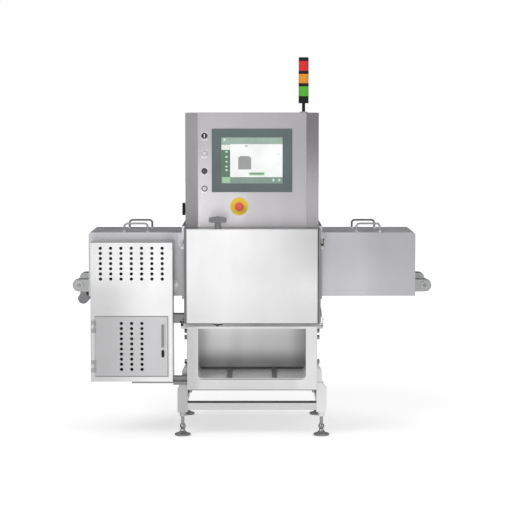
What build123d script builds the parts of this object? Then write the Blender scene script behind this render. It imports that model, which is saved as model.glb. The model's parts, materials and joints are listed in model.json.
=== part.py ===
from build123d import *

import os

# A free-standing conveyor inspection machine for packed food.
# Millimetres. X runs along the conveyor, Y from the front (-Y) to the back, Z up.
# The origin is on the floor, under the middle of the machine.

os.makedirs("parts", exist_ok=True)

# Driving dimensions of the whole machine
overall_length = 1800.0
cabinet_width = 670.0
cabinet_depth = 850.0
cabinet_height = 479.0
cabinet_drop = 209.0
head_height = 565.0
head_depth = 450.0
head_middle_y = -10.0
tunnel_height = 315.0
tunnel_drop = 75.0
tunnel_side_room = 32.5
nose_proud = 83.0
belt_height = 765.0
belt_width = 380.0
bay_inset = 15.0
bay_low = 240.0
leg_low = 119.0
leg_overlap = 26.0

# Sheet, tube and fit sizes used by several pieces
sheet = 3.0
thin_sheet = 2.5
tube_side = 50.0
rail_side = 40.0
tube_wall = 3.0
running_fit = 0.08
free_gap = 0.3
swing_gap = 1.0
overrun = 5.0
edge_share = 0.25

# Places that follow from the driving dimensions
front_y = -cabinet_depth / 2
back_y = cabinet_depth / 2
half_width = cabinet_width / 2
half_tunnel = belt_width / 2 + tunnel_side_room
half_bay = half_width - bay_inset
cabinet_low = belt_height - cabinet_drop
cabinet_high = cabinet_low + cabinet_height
tunnel_low = belt_height - tunnel_drop
tunnel_high = tunnel_low + tunnel_height
tunnel_reach = overall_length / 2 - nose_proud
leg_high = bay_low + leg_overlap


def mid(limits):
    """The middle of a pair of limits."""
    return (limits[0] + limits[1]) / 2


def span(limits):
    """The distance between a pair of limits."""
    return limits[1] - limits[0]


def around(middle, width):
    """A pair of limits placed evenly about a middle."""
    return (middle - width / 2, middle + width / 2)


def sided(side, near, far):
    """A pair of X limits on the left (-1) or right (+1) side of the machine."""
    return (near, far) if side > 0 else (-far, -near)


def block(x, y, z, mode=Mode.ADD):
    """A square-edged block between three pairs of limits."""
    with Locations((mid(x), mid(y), mid(z))):
        Box(span(x), span(y), span(z), mode=mode)


def bar_x(x, y, z, radius, mode=Mode.ADD):
    """A round bar along X."""
    with BuildSketch(Plane.YZ.offset(x[0])) as end:
        with Locations((y, z)):
            Circle(radius)
    extrude(end.sketch, amount=span(x), mode=mode)


def bar_y(x, y, z, radius, mode=Mode.ADD):
    """A round bar along Y."""
    with BuildSketch(Plane.XZ.offset(-y[1])) as end:
        with Locations((x, z)):
            Circle(radius)
    extrude(end.sketch, amount=span(y), mode=mode)


def bar_z(x, y, z, radius, mode=Mode.ADD):
    """A round bar along Z."""
    with BuildSketch(Plane.XY.offset(z[0])) as end:
        with Locations((x, y)):
            Circle(radius)
    extrude(end.sketch, amount=span(z), mode=mode)


def hex_bar_x(x, y, z, across_flats, mode=Mode.ADD):
    """A hexagon bolt head whose axis runs along X."""
    with BuildSketch(Plane.YZ.offset(x[0])) as end:
        with Locations((y, z)):
            RegularPolygon(across_flats / 2, 6, major_radius=False)
    extrude(end.sketch, amount=span(x), mode=mode)


def write(piece, name):
    """Label a finished piece and write it to its own file."""
    piece.part.label = name
    export_step(piece.part, f"parts/{name}.step")


# Cabinet: the shielded box round the middle of the conveyor, open to the front
door_depth = 38.0
door_gap = 2.0
cabinet_front = front_y + door_depth + door_gap
cabinet_lip = 22.0
aperture_margin = 5.0
beam_slot_width = 24.0
beam_slot_length = 340.0
cable_hole_radius = 30.0
cable_hole_inset = 110.0
aperture_y = (-half_tunnel + aperture_margin, half_tunnel - aperture_margin)
aperture_z = (tunnel_low + aperture_margin, tunnel_high - aperture_margin)

with BuildPart() as cabinet_shell:
    block((-half_width, half_width), (cabinet_front, back_y), (cabinet_low, cabinet_high))
    offset(amount=-sheet, openings=cabinet_shell.faces().sort_by(Axis.Y)[0])
    block((-half_width, half_width), (cabinet_front, cabinet_front + sheet), (cabinet_low, cabinet_high))
    block(
        (-half_width + cabinet_lip, half_width - cabinet_lip),
        (cabinet_front - overrun, cabinet_front + sheet),
        (cabinet_low + cabinet_lip, cabinet_high - cabinet_lip),
        mode=Mode.SUBTRACT,
    )
    block((-half_width - overrun, half_width + overrun), aperture_y, aperture_z, mode=Mode.SUBTRACT)
    block(
        around(0, beam_slot_width),
        around(0, beam_slot_length),
        (cabinet_high - sheet - overrun, cabinet_high + overrun),
        mode=Mode.SUBTRACT,
    )
    bar_z(
        half_width - cable_hole_inset,
        cable_hole_inset,
        (cabinet_high - sheet - overrun, cabinet_high + overrun),
        cable_hole_radius,
        mode=Mode.SUBTRACT,
    )
write(cabinet_shell, "cabinet_shell")

# Front door: a folded pan with a knuckle strip on its right edge
door_side_gap = 13.0
door_low_gap = 14.0
door_high_gap = 1.0
door_half_width = half_width - door_side_gap
door_low = cabinet_low + door_low_gap
door_high = cabinet_high - door_high_gap
door_corner = 4.0
door_skin = 2.5
door_lip = 25.0
rod_radius = 7.0
rod_inset = 154.0
rod_x = -door_half_width + rod_inset
rod_y = front_y + door_depth / 2
rod_guide_side = 30.0
rod_guide_height = 24.0
door_y = (front_y, front_y + door_depth)
hinge_inset = 4.0
hinge_setback = 9.0
hinge_x = half_width - hinge_inset
hinge_y = door_y[1] - hinge_setback
hinge_radius = 7.0
hinge_pin_radius = 3.0
hinge_end_gap = 6.0
knuckle_count = 7
knuckle_gap = 0.5
hinge_leaf = 2.5
knuckle_pitch = (door_high - door_low - 2 * hinge_end_gap) / knuckle_count


def knuckle_z(index):
    """The height limits of one hinge knuckle, counted from the bottom."""
    low = door_low + hinge_end_gap + index * knuckle_pitch
    return (low + knuckle_gap / 2, low + knuckle_pitch - knuckle_gap / 2)


with BuildPart() as front_door:
    block((-door_half_width, door_half_width), door_y, (door_low, door_high))
    front_edges = front_door.faces().sort_by(Axis.Y)[0].edges()
    fillet(front_edges, radius=door_corner)
    offset(amount=-door_skin, openings=front_door.faces().sort_by(Axis.Y)[-1])
    for height in (door_low, door_high - door_lip):
        block(
            (-door_half_width, door_half_width),
            (door_y[1] - door_skin, door_y[1]),
            (height, height + door_lip),
        )
    for edge in (-door_half_width, door_half_width - door_lip):
        block((edge, edge + door_lip), (door_y[1] - door_skin, door_y[1]), (door_low, door_high))
    for height in (door_low, door_high - rod_guide_height):
        block(
            around(rod_x, rod_guide_side),
            (front_y + door_skin / 2, door_y[1]),
            (height, height + rod_guide_height),
        )
    bar_z(
        rod_x,
        rod_y,
        (door_low - overrun, door_high + overrun),
        rod_radius + running_fit,
        mode=Mode.SUBTRACT,
    )
    for index in range(1, knuckle_count, 2):
        bar_z(hinge_x, hinge_y, knuckle_z(index), hinge_radius)
        block((door_half_width - door_skin, hinge_x), around(hinge_y, hinge_leaf), knuckle_z(index))
    bar_z(
        hinge_x,
        hinge_y,
        (door_low, door_high),
        hinge_pin_radius + running_fit,
        mode=Mode.SUBTRACT,
    )
write(front_door, "front_door")

# Door fittings: the hinge knuckles and pin that stay on the cabinet, and the two keeper
# blocks on the bay that hold the end of the locking rod from both sides
keeper_height = 7.0
keeper_width = 40.0
keeper_depth = 26.0
keeper_slot = 17.0

with BuildPart() as door_fittings:
    for index in range(0, knuckle_count, 2):
        bar_z(hinge_x, hinge_y, knuckle_z(index), hinge_radius)
        block(around(hinge_x, hinge_leaf), (hinge_y, cabinet_front), knuckle_z(index))
    bar_z(hinge_x, hinge_y, (knuckle_z(0)[0], knuckle_z(knuckle_count - 1)[1]), hinge_pin_radius)
    for side in (-1, 1):
        block(
            sorted((rod_x + side * keeper_slot / 2, rod_x + side * keeper_width / 2)),
            around(rod_y, keeper_depth),
            (cabinet_low, cabinet_low + keeper_height),
        )
write(door_fittings, "door_fittings")

# Locking rod: a T handle on a round rod that runs down inside the door
rod_tip_gap = 2.5
handle_hub_radius = 15.0
handle_hub_height = 32.0
handle_bar_length = 86.0
handle_bar_height = 24.0
handle_crown = 7.0
handle_bar_thick = 22.0
rod_end = cabinet_low + rod_tip_gap
handle_hub_high = door_high + handle_hub_height
handle_bar_high = handle_hub_high + handle_bar_height
handle_peak = handle_bar_high + handle_crown
handle_edge = 4.0

with BuildPart() as lock_rod:
    bar_z(rod_x, rod_y, (rod_end, handle_hub_high), rod_radius)
    bar_z(rod_x, rod_y, (door_high + free_gap, handle_hub_high), handle_hub_radius)
    with BuildSketch(Plane.XZ.offset(-rod_y)) as handle_face:
        with BuildLine():
            Polyline(
                (rod_x - handle_bar_length / 2, handle_hub_high),
                (rod_x + handle_bar_length / 2, handle_hub_high),
                (rod_x + handle_bar_length / 2, handle_bar_high),
                (rod_x, handle_peak),
                (rod_x - handle_bar_length / 2, handle_bar_high),
                close=True,
            )
        make_face()
        fillet(handle_face.vertices(), radius=handle_edge)
    extrude(amount=handle_bar_thick / 2, both=True)
    chamfer(lock_rod.faces().sort_by(Axis.Z)[0].edges(), length=rod_radius * edge_share)
write(lock_rod, "lock_rod")

# Base bay: the housing under the cabinet, with a wide window in its front
window_side = 55.0
window_sill = 54.0
window_top = 11.0
window_corner = 20.0
bay_corner = 3.0
window_half_width = half_bay - window_side
window_low = bay_low + window_sill
window_high = cabinet_low - window_top
liner_side = 7.0
liner_sill = 3.0
liner_top = 7.0
liner_depth = 340.0
liner_half_width = window_half_width + liner_side
liner_low = window_low + liner_sill
liner_high = window_high + liner_top
liner_y = (front_y + sheet, front_y + liner_depth)

with BuildPart() as bay_shell:
    block((-half_bay, half_bay), (front_y, back_y), (bay_low, cabinet_low))
    fillet(bay_shell.edges().filter_by(Axis.Z), radius=bay_corner)
    block(
        (-half_bay + sheet, half_bay - sheet),
        (front_y + sheet, back_y - sheet),
        (bay_low + sheet, cabinet_low - sheet),
        mode=Mode.SUBTRACT,
    )
    with BuildSketch(Plane.XZ.offset(-front_y)) as window:
        with Locations((0, (window_low + window_high) / 2)):
            Rectangle(2 * window_half_width, window_high - window_low)
        fillet(window.vertices().group_by(Axis.Y)[0], radius=window_corner)
    extrude(amount=-(sheet + overrun), mode=Mode.SUBTRACT)
    # The flat panel that closes the liner at its back
    block((-liner_half_width, liner_half_width), (liner_y[1] - sheet, liner_y[1]), (liner_low, liner_high))
write(bay_shell, "bay_shell")

# Bay liner: the wrapped tray behind the window, with round lower corners and two floor ribs
liner_corner = 24.0
liner_rib_x = 111.0
liner_rib_width = 24.0
liner_rib_height = 8.0

with BuildPart() as bay_liner:
    with BuildSketch(Plane.XZ.offset(-(liner_y[1] - sheet))) as liner_face:
        with Locations((0, (liner_low + liner_high) / 2)):
            Rectangle(2 * liner_half_width, liner_high - liner_low)
        fillet(liner_face.vertices().group_by(Axis.Y)[0], radius=liner_corner)
    extrude(amount=span(liner_y) - sheet)
    offset(
        amount=-sheet,
        openings=[bay_liner.faces().sort_by(Axis.Y)[0], bay_liner.faces().sort_by(Axis.Y)[-1]],
    )
    for rib_x in (-liner_rib_x, liner_rib_x):
        block(
            around(rib_x, liner_rib_width),
            (liner_y[0], liner_y[1] - sheet),
            (liner_low + sheet, liner_low + sheet + liner_rib_height),
        )
write(bay_liner, "bay_liner")

# Legs: four square tubes beside the bay, each with a gusset, an end plate and a lock nut
leg_x = half_bay + tube_side / 2
leg_inset = 100.0
leg_y = back_y - leg_inset
leg_chamfer_x = 17.0
leg_chamfer_z = 32.0
gusset_height = 72.0
gusset_width = 26.0
gusset_thick = 6.0
foot_stem_radius = 10.0
nut_radius = 15.0
nut_height = 22.0
leg_plate = 12.0
gusset_high = leg_high + gusset_height

with BuildPart() as legs:
    for side in (-1, 1):
        for row_y in (-leg_y, leg_y):
            with BuildSketch(Plane.XZ.offset(-row_y)) as leg_face:
                with BuildLine():
                    Polyline(
                        (side * half_bay, leg_low),
                        (side * (half_bay + tube_side), leg_low),
                        (side * (half_bay + tube_side), leg_high - leg_chamfer_z),
                        (side * (half_bay + tube_side - leg_chamfer_x), leg_high),
                        (side * half_bay, leg_high),
                        close=True,
                    )
                make_face()
            extrude(amount=tube_side / 2, both=True)
            block(
                around(side * leg_x, tube_side - 2 * tube_wall),
                around(row_y, tube_side - 2 * tube_wall),
                (leg_low + leg_plate, leg_high - leg_chamfer_z),
                mode=Mode.SUBTRACT,
            )
            with BuildSketch(Plane.XZ.offset(-row_y)) as gusset_face:
                with BuildLine():
                    Polyline(
                        (side * half_bay, leg_high),
                        (side * (half_bay + gusset_width), leg_high),
                        (side * (half_bay + gusset_width), gusset_high - gusset_width / 2),
                        (side * (half_bay + gusset_width / 2), gusset_high),
                        (side * half_bay, gusset_high),
                        close=True,
                    )
                make_face()
            extrude(amount=gusset_thick, both=True)
            bar_z(side * leg_x, row_y, (leg_low - nut_height, leg_low), nut_radius)
            bar_z(
                side * leg_x,
                row_y,
                (leg_low - nut_height - overrun, leg_low + leg_plate + overrun),
                foot_stem_radius + running_fit,
                mode=Mode.SUBTRACT,
            )
write(legs, "legs")

# Leg rails: two cross rails and two side rails between the legs
rail_rise = 11.0
rail_z = (leg_low + rail_rise, leg_low + rail_rise + rail_side)


def tube(x, y, z, along):
    """A square tube between three pairs of limits, open at both ends."""
    block(x, y, z)
    inner = [(limits[0] + tube_wall, limits[1] - tube_wall) for limits in (x, y, z)]
    inner[along] = (x, y, z)[along]
    block(*inner, mode=Mode.SUBTRACT)


with BuildPart() as leg_rails:
    for row_y in (-leg_y, leg_y):
        tube((-half_bay, half_bay), around(row_y, rail_side), rail_z, along=0)
    for rail_x in (-leg_x, leg_x):
        tube(
            around(rail_x, rail_side),
            (-leg_y + tube_side / 2, leg_y - tube_side / 2),
            rail_z,
            along=1,
        )
write(leg_rails, "leg_rails")

# Levelling feet: base, ball, hexagon and spindle of each foot
foot_radius = 40.0
foot_edge = 8.0
foot_dome = 20.0
foot_cone = 37.0
foot_neck_radius = 13.0
foot_ball_radius = 17.0
foot_ball_high = 60.0
foot_stem_reach = 96.0
foot_stem_high = leg_low + foot_stem_reach
foot_names = {
    "front_left_foot": (-leg_x, -leg_y),
    "front_right_foot": (leg_x, -leg_y),
    "rear_left_foot": (-leg_x, leg_y),
    "rear_right_foot": (leg_x, leg_y),
}
for foot_name, (foot_x, foot_y) in foot_names.items():
    with BuildPart() as foot:
        with BuildSketch(Plane.XZ.offset(-foot_y)) as foot_face:
            with BuildLine():
                Polyline(
                    (foot_x, 0),
                    (foot_x + foot_radius, 0),
                    (foot_x + foot_radius, foot_edge),
                    (foot_x + foot_radius - foot_edge, foot_dome),
                    (foot_x + foot_neck_radius, foot_cone),
                    (foot_x + foot_ball_radius, foot_cone),
                    (foot_x + foot_ball_radius, foot_ball_high),
                    (foot_x + foot_stem_radius, foot_ball_high),
                    (foot_x + foot_stem_radius, foot_stem_high),
                    (foot_x, foot_stem_high),
                    close=True,
                )
            make_face()
        revolve(axis=Axis((foot_x, foot_y, 0), (0, 0, 1)))
    write(foot, foot_name)

# Bay bolts: hexagon heads on the sides of the bay and under its corners
bolt_flats = 22.0
bolt_head = 15.0
bolt_height_shares = (0.147, 0.706, 0.853)
under_bolt_inset = 13.0
under_bolt_head = 24.0
under_bolt_radius = 9.0
under_bolt_x = half_bay - under_bolt_inset
bolt_heights = [gusset_high + share * (cabinet_low - gusset_high) for share in bolt_height_shares]

with BuildPart() as bay_bolts:
    for side in (-1, 1):
        for row_y in (-leg_y, leg_y):
            for height in bolt_heights:
                hex_bar_x(sided(side, half_bay, half_bay + bolt_head), row_y, height, bolt_flats)
            bar_z(side * under_bolt_x, row_y, (bay_low - under_bolt_head, bay_low), under_bolt_radius)
write(bay_bolts, "bay_bolts")

# Head: the electrics housing on top of the cabinet, with slanted front corners
head_half_width = half_width
head_slant_width = 67.0
head_slant_depth = 90.0
head_corner = 6.0
head_flat_half_width = head_half_width - head_slant_width
head_front, head_back = around(head_middle_y, head_depth)
head_high = cabinet_high + head_height
screen_height_share = 0.584
bezel_width = 400.0
bezel_height = 315.0
bezel_rim = 14.0
screen_height = cabinet_high + screen_height_share * head_height
bezel_low = screen_height - bezel_height / 2
button_gap = 36.5
button_pitch = 87.4
button_top_rise = 122.0
button_count = 4
button_hole = 11.3
button_x = -bezel_width / 2 - button_gap
button_heights = [screen_height + button_top_rise - index * button_pitch for index in range(button_count)]
estop_x_share = -0.16
estop_height_share = 0.5855
estop_x = bezel_width * estop_x_share
estop_height = cabinet_high + estop_height_share * (bezel_low - cabinet_high)
isolator_setback = 175.0
isolator_rise = 79.0
isolator_hole = 8.0
isolator_y = head_front + isolator_setback
isolator_height = cabinet_high + isolator_rise
stack_inset = 76.0
stack_setback = 115.0
stack_pole_radius = 8.0
stack_x = head_half_width - stack_inset
stack_y = head_front + stack_setback

with BuildPart() as head_shell:
    with BuildSketch(Plane.XY.offset(cabinet_high)) as head_plan:
        with BuildLine():
            Polyline(
                (-head_half_width, head_back),
                (-head_half_width, head_front + head_slant_depth),
                (-head_flat_half_width, head_front),
                (head_flat_half_width, head_front),
                (head_half_width, head_front + head_slant_depth),
                (head_half_width, head_back),
                close=True,
            )
        make_face()
    extrude(amount=head_height)
    slant_edges = head_shell.edges().filter_by(Axis.Z).sort_by(Axis.Y)[0:4]
    fillet(slant_edges, radius=head_corner)
    offset(
        amount=-thin_sheet,
        openings=[head_shell.faces().sort_by(Axis.Y)[-1], head_shell.faces().sort_by(Axis.Z)[0]],
    )
    block(
        around(0, bezel_width - 2 * bezel_rim),
        (head_front - overrun, head_front + thin_sheet + overrun),
        around(screen_height, bezel_height - 2 * bezel_rim),
        mode=Mode.SUBTRACT,
    )
    front_cut = (head_front - overrun, head_front + thin_sheet + overrun)
    for height in button_heights:
        bar_y(button_x, front_cut, height, button_hole, mode=Mode.SUBTRACT)
    bar_y(estop_x, front_cut, estop_height, button_hole, mode=Mode.SUBTRACT)
    bar_x(
        (-head_half_width - overrun, -head_half_width + thin_sheet + overrun),
        isolator_y,
        isolator_height,
        isolator_hole,
        mode=Mode.SUBTRACT,
    )
    bar_z(
        stack_x,
        stack_y,
        (head_high - thin_sheet - overrun, head_high + overrun),
        stack_pole_radius / 2,
        mode=Mode.SUBTRACT,
    )
write(head_shell, "head_shell")

# Head rear cover: a plain lift-off sheet with a folded rim and six screws
cover_rim = 12.0
cover_screw_radius = 5.0
cover_screw_head = 3.0
cover_screw_inset = 24.0
cover_y = (head_back, head_back + thin_sheet)

with BuildPart() as head_rear_cover:
    block((-head_half_width, head_half_width), cover_y, (cabinet_high, head_high))
    block(
        (-head_half_width + thin_sheet, head_half_width - thin_sheet),
        (head_back - cover_rim, head_back),
        (cabinet_high, head_high - thin_sheet),
    )
    block(
        (-head_half_width + 2 * thin_sheet, head_half_width - 2 * thin_sheet),
        (head_back - cover_rim, head_back),
        (cabinet_high + thin_sheet, head_high - 2 * thin_sheet),
        mode=Mode.SUBTRACT,
    )
    screw_rows = (
        cabinet_high + cover_screw_inset,
        (cabinet_high + head_high) / 2,
        head_high - cover_screw_inset,
    )
    for screw_z in screw_rows:
        for screw_x in (-head_half_width + cover_screw_inset, head_half_width - cover_screw_inset):
            bar_y(screw_x, (cover_y[1], cover_y[1] + cover_screw_head), screw_z, cover_screw_radius)
write(head_rear_cover, "head_rear_cover")

# Operator screen: a round-cornered bezel and the glass set into it
bezel_proud = 6.0
bezel_corner = 10.0
bezel_edge = 1.5
display_width = 304.0
display_height = 228.0
display_recess = 1.2
display_thick = 4.0
bezel_y = (head_front - bezel_proud, head_front)
display_y = (bezel_y[0] + display_recess, bezel_y[0] + display_recess + display_thick)

with BuildPart() as hmi_bezel:
    with BuildSketch(Plane.XZ.offset(-bezel_y[1])) as bezel_face:
        with Locations((0, screen_height)):
            RectangleRounded(bezel_width, bezel_height, bezel_corner)
            Rectangle(display_width, display_height, mode=Mode.SUBTRACT)
    extrude(amount=bezel_proud)
    chamfer(hmi_bezel.faces().sort_by(Axis.Y)[0].outer_wire().edges(), length=bezel_edge)
write(hmi_bezel, "hmi_bezel")

with BuildPart() as hmi_display:
    block(around(0, display_width), display_y, around(screen_height, display_height))
write(hmi_display, "hmi_display")

# Switches beside the screen: rings with legend plates, a key switch and three buttons
ring_radius = 15.0
ring_bore = 11.0
ring_proud = 5.0
legend_width = 30.0
legend_height = 42.0
legend_thick = 1.0
legend_drop = 3.0
cap_radius = 10.7
cap_proud = 7.0
stem_radius = 8.0
stem_depth = 8.0
key_width = 4.0
key_length = 17.0
key_proud = 12.0
legend_y = (head_front - legend_thick, head_front)
ring_y = (legend_y[0] - ring_proud, legend_y[0])
cap_y = (head_front - cap_proud, head_front - legend_thick / 2)

with BuildPart() as button_bezels:
    for height in button_heights:
        block(around(button_x, legend_width), legend_y, around(height - legend_drop, legend_height))
        bar_y(button_x, ring_y, height, ring_radius)
        bar_y(button_x, (ring_y[0] - overrun, head_front + overrun), height, ring_bore, mode=Mode.SUBTRACT)
write(button_bezels, "button_bezels")

button_names = ("start_button", "stop_button", "reset_button")
for button_name, height in zip(button_names, button_heights[1:]):
    with BuildPart() as button:
        bar_y(button_x, cap_y, height, cap_radius)
        fillet(button.faces().sort_by(Axis.Y)[0].edges(), radius=cap_proud * edge_share)
        bar_y(button_x, (cap_y[1], head_front + stem_depth), height, stem_radius)
    write(button, button_name)

with BuildPart() as key_switch:
    bar_y(button_x, cap_y, button_heights[0], cap_radius)
    chamfer(key_switch.faces().sort_by(Axis.Y)[0].edges(), length=cap_proud * edge_share)
    block(
        around(button_x, key_width),
        (head_front - key_proud, cap_y[0]),
        around(button_heights[0], key_length),
    )
    bar_y(button_x, (cap_y[1], head_front + stem_depth), button_heights[0], stem_radius)
write(key_switch, "key_switch")

# Emergency stop: a round yellow plate and a mushroom button
estop_plate_radius = 45.0
estop_plate_thick = 1.5
estop_cap_radius = 21.0
estop_cap_depth = 15.0
estop_standoff = 12.0
estop_collar_radius = 16.0
estop_collar = 4.0
estop_plate_y = (head_front - estop_plate_thick, head_front)
estop_collar_y = (estop_plate_y[0] - estop_collar, estop_plate_y[0])
estop_cap_y = (estop_plate_y[0] - estop_standoff - estop_cap_depth, estop_plate_y[0] - estop_standoff)

with BuildPart() as estop_legend:
    bar_y(estop_x, estop_plate_y, estop_height, estop_plate_radius)
    bar_y(estop_x, estop_collar_y, estop_height, estop_collar_radius)
    bar_y(
        estop_x,
        (estop_collar_y[0] - overrun, head_front + overrun),
        estop_height,
        button_hole,
        mode=Mode.SUBTRACT,
    )
write(estop_legend, "estop_legend")

with BuildPart() as estop_button:
    bar_y(estop_x, estop_cap_y, estop_height, estop_cap_radius)
    fillet(estop_button.faces().sort_by(Axis.Y)[0].edges(), radius=estop_cap_depth / 2)
    bar_y(estop_x, (estop_cap_y[1], head_front + stem_depth), estop_height, button_hole - free_gap)
write(estop_button, "estop_button")

# Main isolator on the left side of the head
isolator_plate = 48.0
isolator_plate_thick = 4.0
isolator_knob_radius = 19.0
isolator_knob_thick = 5.0
isolator_grip = 10.0
isolator_grip_proud = 5.0
isolator_shaft = 5.0
isolator_face = -head_half_width - isolator_plate_thick
isolator_knob_face = isolator_face - free_gap - isolator_knob_thick

with BuildPart() as isolator_base:
    block(
        (isolator_face, -head_half_width),
        around(isolator_y, isolator_plate),
        around(isolator_height, isolator_plate),
    )
    bar_x(
        (isolator_face - overrun, -head_half_width + overrun),
        isolator_y,
        isolator_height,
        isolator_shaft + running_fit,
        mode=Mode.SUBTRACT,
    )
write(isolator_base, "isolator_base")

with BuildPart() as isolator_knob:
    bar_x((isolator_knob_face, isolator_face - free_gap), isolator_y, isolator_height, isolator_knob_radius)
    block(
        (isolator_knob_face - isolator_grip_proud, isolator_knob_face),
        around(isolator_y, isolator_grip),
        around(isolator_height, 2 * isolator_knob_radius),
    )
    bar_x(
        (isolator_face - free_gap, -head_half_width + stem_depth),
        isolator_y,
        isolator_height,
        isolator_shaft,
    )
write(isolator_knob, "isolator_knob")

# Signal tower: pole, black base, three lamps with dividers and a cap
lamp_radius = 25.0
lamp_wall = 3.0
lamp_height = 51.0
divider_height = 11.0
tower_base_rise = 48.0
tower_base_height = 36.0
tower_cap_height = 19.0
tower_base_low = head_high + tower_base_rise
tower_base_high = tower_base_low + tower_base_height
green_high = tower_base_high + lamp_height
amber_low = green_high + divider_height
amber_high = amber_low + lamp_height
red_low = amber_high + divider_height
red_high = red_low + lamp_height
tower_high = red_high + tower_cap_height
tower_foot_radius = 20.0
tower_foot_high = 6.0
core_radius = 8.0

with BuildPart() as signal_tower:
    bar_z(stack_x, stack_y, (head_high, head_high + tower_foot_high), tower_foot_radius)
    bar_z(stack_x, stack_y, (head_high, tower_base_low), stack_pole_radius)
    bar_z(stack_x, stack_y, (tower_base_low, tower_base_high), lamp_radius)
    bar_z(stack_x, stack_y, (tower_base_high, tower_high), core_radius)
    bar_z(stack_x, stack_y, (green_high, amber_low), lamp_radius)
    bar_z(stack_x, stack_y, (amber_high, red_low), lamp_radius)
    bar_z(stack_x, stack_y, (red_high, tower_high), lamp_radius)
    fillet(signal_tower.faces().sort_by(Axis.Z)[-1].edges(), radius=(tower_high - red_high) * edge_share)
write(signal_tower, "signal_tower")

lamps = {
    "green_lamp": (tower_base_high, green_high),
    "amber_lamp": (amber_low, amber_high),
    "red_lamp": (red_low, red_high),
}
for lamp_name, lamp_z in lamps.items():
    with BuildPart() as lamp:
        bar_z(stack_x, stack_y, lamp_z, lamp_radius)
        bar_z(stack_x, stack_y, lamp_z, lamp_radius - lamp_wall, mode=Mode.SUBTRACT)
    write(lamp, lamp_name)

# Beam source tank on the cabinet roof, and the beam guide below the roof
tank_width = 320.0
tank_depth = 240.0
tank_height = 250.0
tank_corner = 25.0
tank_flange = 10.0
tank_flange_margin = 30.0
tank_port_radius = 60.0
tank_port = 20.0
tank_wall = 6.0
guide_top_width = 60.0
guide_low_width = 30.0
guide_end_wall = 10.0
guide_fan = 20.0
guide_top_length = beam_slot_length + 2 * guide_end_wall
guide_low_length = belt_width + 2 * guide_fan
guide_low = aperture_z[1] + aperture_margin
guide_slot = 6.0

with BuildPart() as source_tank:
    block(
        around(0, tank_width + tank_flange_margin),
        around(0, tank_depth + tank_flange_margin),
        (cabinet_high, cabinet_high + tank_flange),
    )
    with BuildSketch(Plane.XY.offset(cabinet_high + tank_flange)):
        RectangleRounded(tank_width, tank_depth, tank_corner)
    extrude(amount=tank_height)
    fillet(source_tank.faces().sort_by(Axis.Z)[-1].edges(), radius=tank_corner / 2)
    block(
        around(0, tank_width - tank_corner),
        around(0, tank_depth - tank_corner),
        (cabinet_high + tank_flange, cabinet_high + tank_flange + tank_height - tank_wall),
        mode=Mode.SUBTRACT,
    )
    bar_z(
        0,
        0,
        (cabinet_high + tank_flange + tank_height, cabinet_high + tank_flange + tank_height + tank_port),
        tank_port_radius,
    )
write(source_tank, "source_tank")

with BuildPart() as beam_guide:
    with BuildSketch(Plane.XY.offset(guide_low)):
        Rectangle(guide_low_width, guide_low_length)
    with BuildSketch(Plane.XY.offset(cabinet_high - sheet)):
        Rectangle(guide_top_width, guide_top_length)
    loft()
    block(
        around(0, guide_slot),
        around(0, beam_slot_length),
        (guide_low - overrun, cabinet_high),
        mode=Mode.SUBTRACT,
    )
write(beam_guide, "beam_guide")

# Control units in the head: panel computer, mounting plate, power units and contact blocks
computer_width = 340.0
computer_height = 260.0
computer_depth = 60.0
plate_inset = 65.0
plate_thick = 3.0
plate_rise = 15.0
plate_top_gap = 40.0
plate_y = head_back - plate_inset
plate_low = cabinet_high + tank_flange + tank_height + tank_port + plate_rise
plate_high = head_high - plate_top_gap
unit_depth = 70.0
unit_height = 130.0
unit_width = 90.0
unit_pitch = 150.0
contact_side = 30.0
contact_depth = 44.0
contact_bore_depth = 14.0
panel_back = head_front + thin_sheet

with BuildPart() as control_units:
    block(
        around(0, computer_width),
        (head_front, head_front + computer_depth),
        around(screen_height, computer_height),
    )
    inner_half_width = head_half_width - thin_sheet
    block((-inner_half_width, inner_half_width), around(plate_y, plate_thick), (plate_low, plate_high))
    for step in (-1, 0, 1):
        block(
            around(step * unit_pitch, unit_width),
            (plate_y - plate_thick / 2 - unit_depth, plate_y - plate_thick / 2),
            around((plate_low + plate_high) / 2, unit_height),
        )
    places = [(button_x, height) for height in button_heights] + [(estop_x, estop_height)]
    for place_x, place_z in places:
        block(
            around(place_x, contact_side),
            (panel_back, panel_back + contact_depth),
            around(place_z, contact_side),
        )
        bar_y(
            place_x,
            (panel_back - overrun, panel_back + contact_bore_depth),
            place_z,
            button_hole,
            mode=Mode.SUBTRACT,
        )
write(control_units, "control_units")

# Conveyor levels and roller places shared by the conveyor's pieces
roller_radius = 23.0
belt_thick = 2.0
nose_radius = 33.0
side_plate = 6.0
side_plate_gap = 10.0
axle_radius = 10.0
roller_end_gap = 2.0
nose_x = overall_length / 2 - nose_radius
collar_thick = 15.0
collar_x = half_width + collar_thick
transfer_inset = 52.0
transfer_x = -collar_x - transfer_inset
transfer_gap = 2.0
belt_inner = roller_radius + free_gap
belt_outer = belt_inner + belt_thick
roller_z = belt_height - belt_outer
reject_tail_x = transfer_x - 2 * belt_outer - transfer_gap
plate_inner = belt_width / 2 + side_plate_gap
plate_outer = plate_inner + side_plate
half_belt = belt_width / 2
runs = {"main": (transfer_x, nose_x), "reject": (-nose_x, reject_tail_x)}

# Conveyor frames: two side plates and cross ties for each of the two belts
tie_width = 20.0
tie_pitch = 230.0
tie_margin = 60.0
bed_thick = 5.0
bed_margin = 6.0
bed_high = belt_height - belt_thick
tie_low_drop = 17.0

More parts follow.
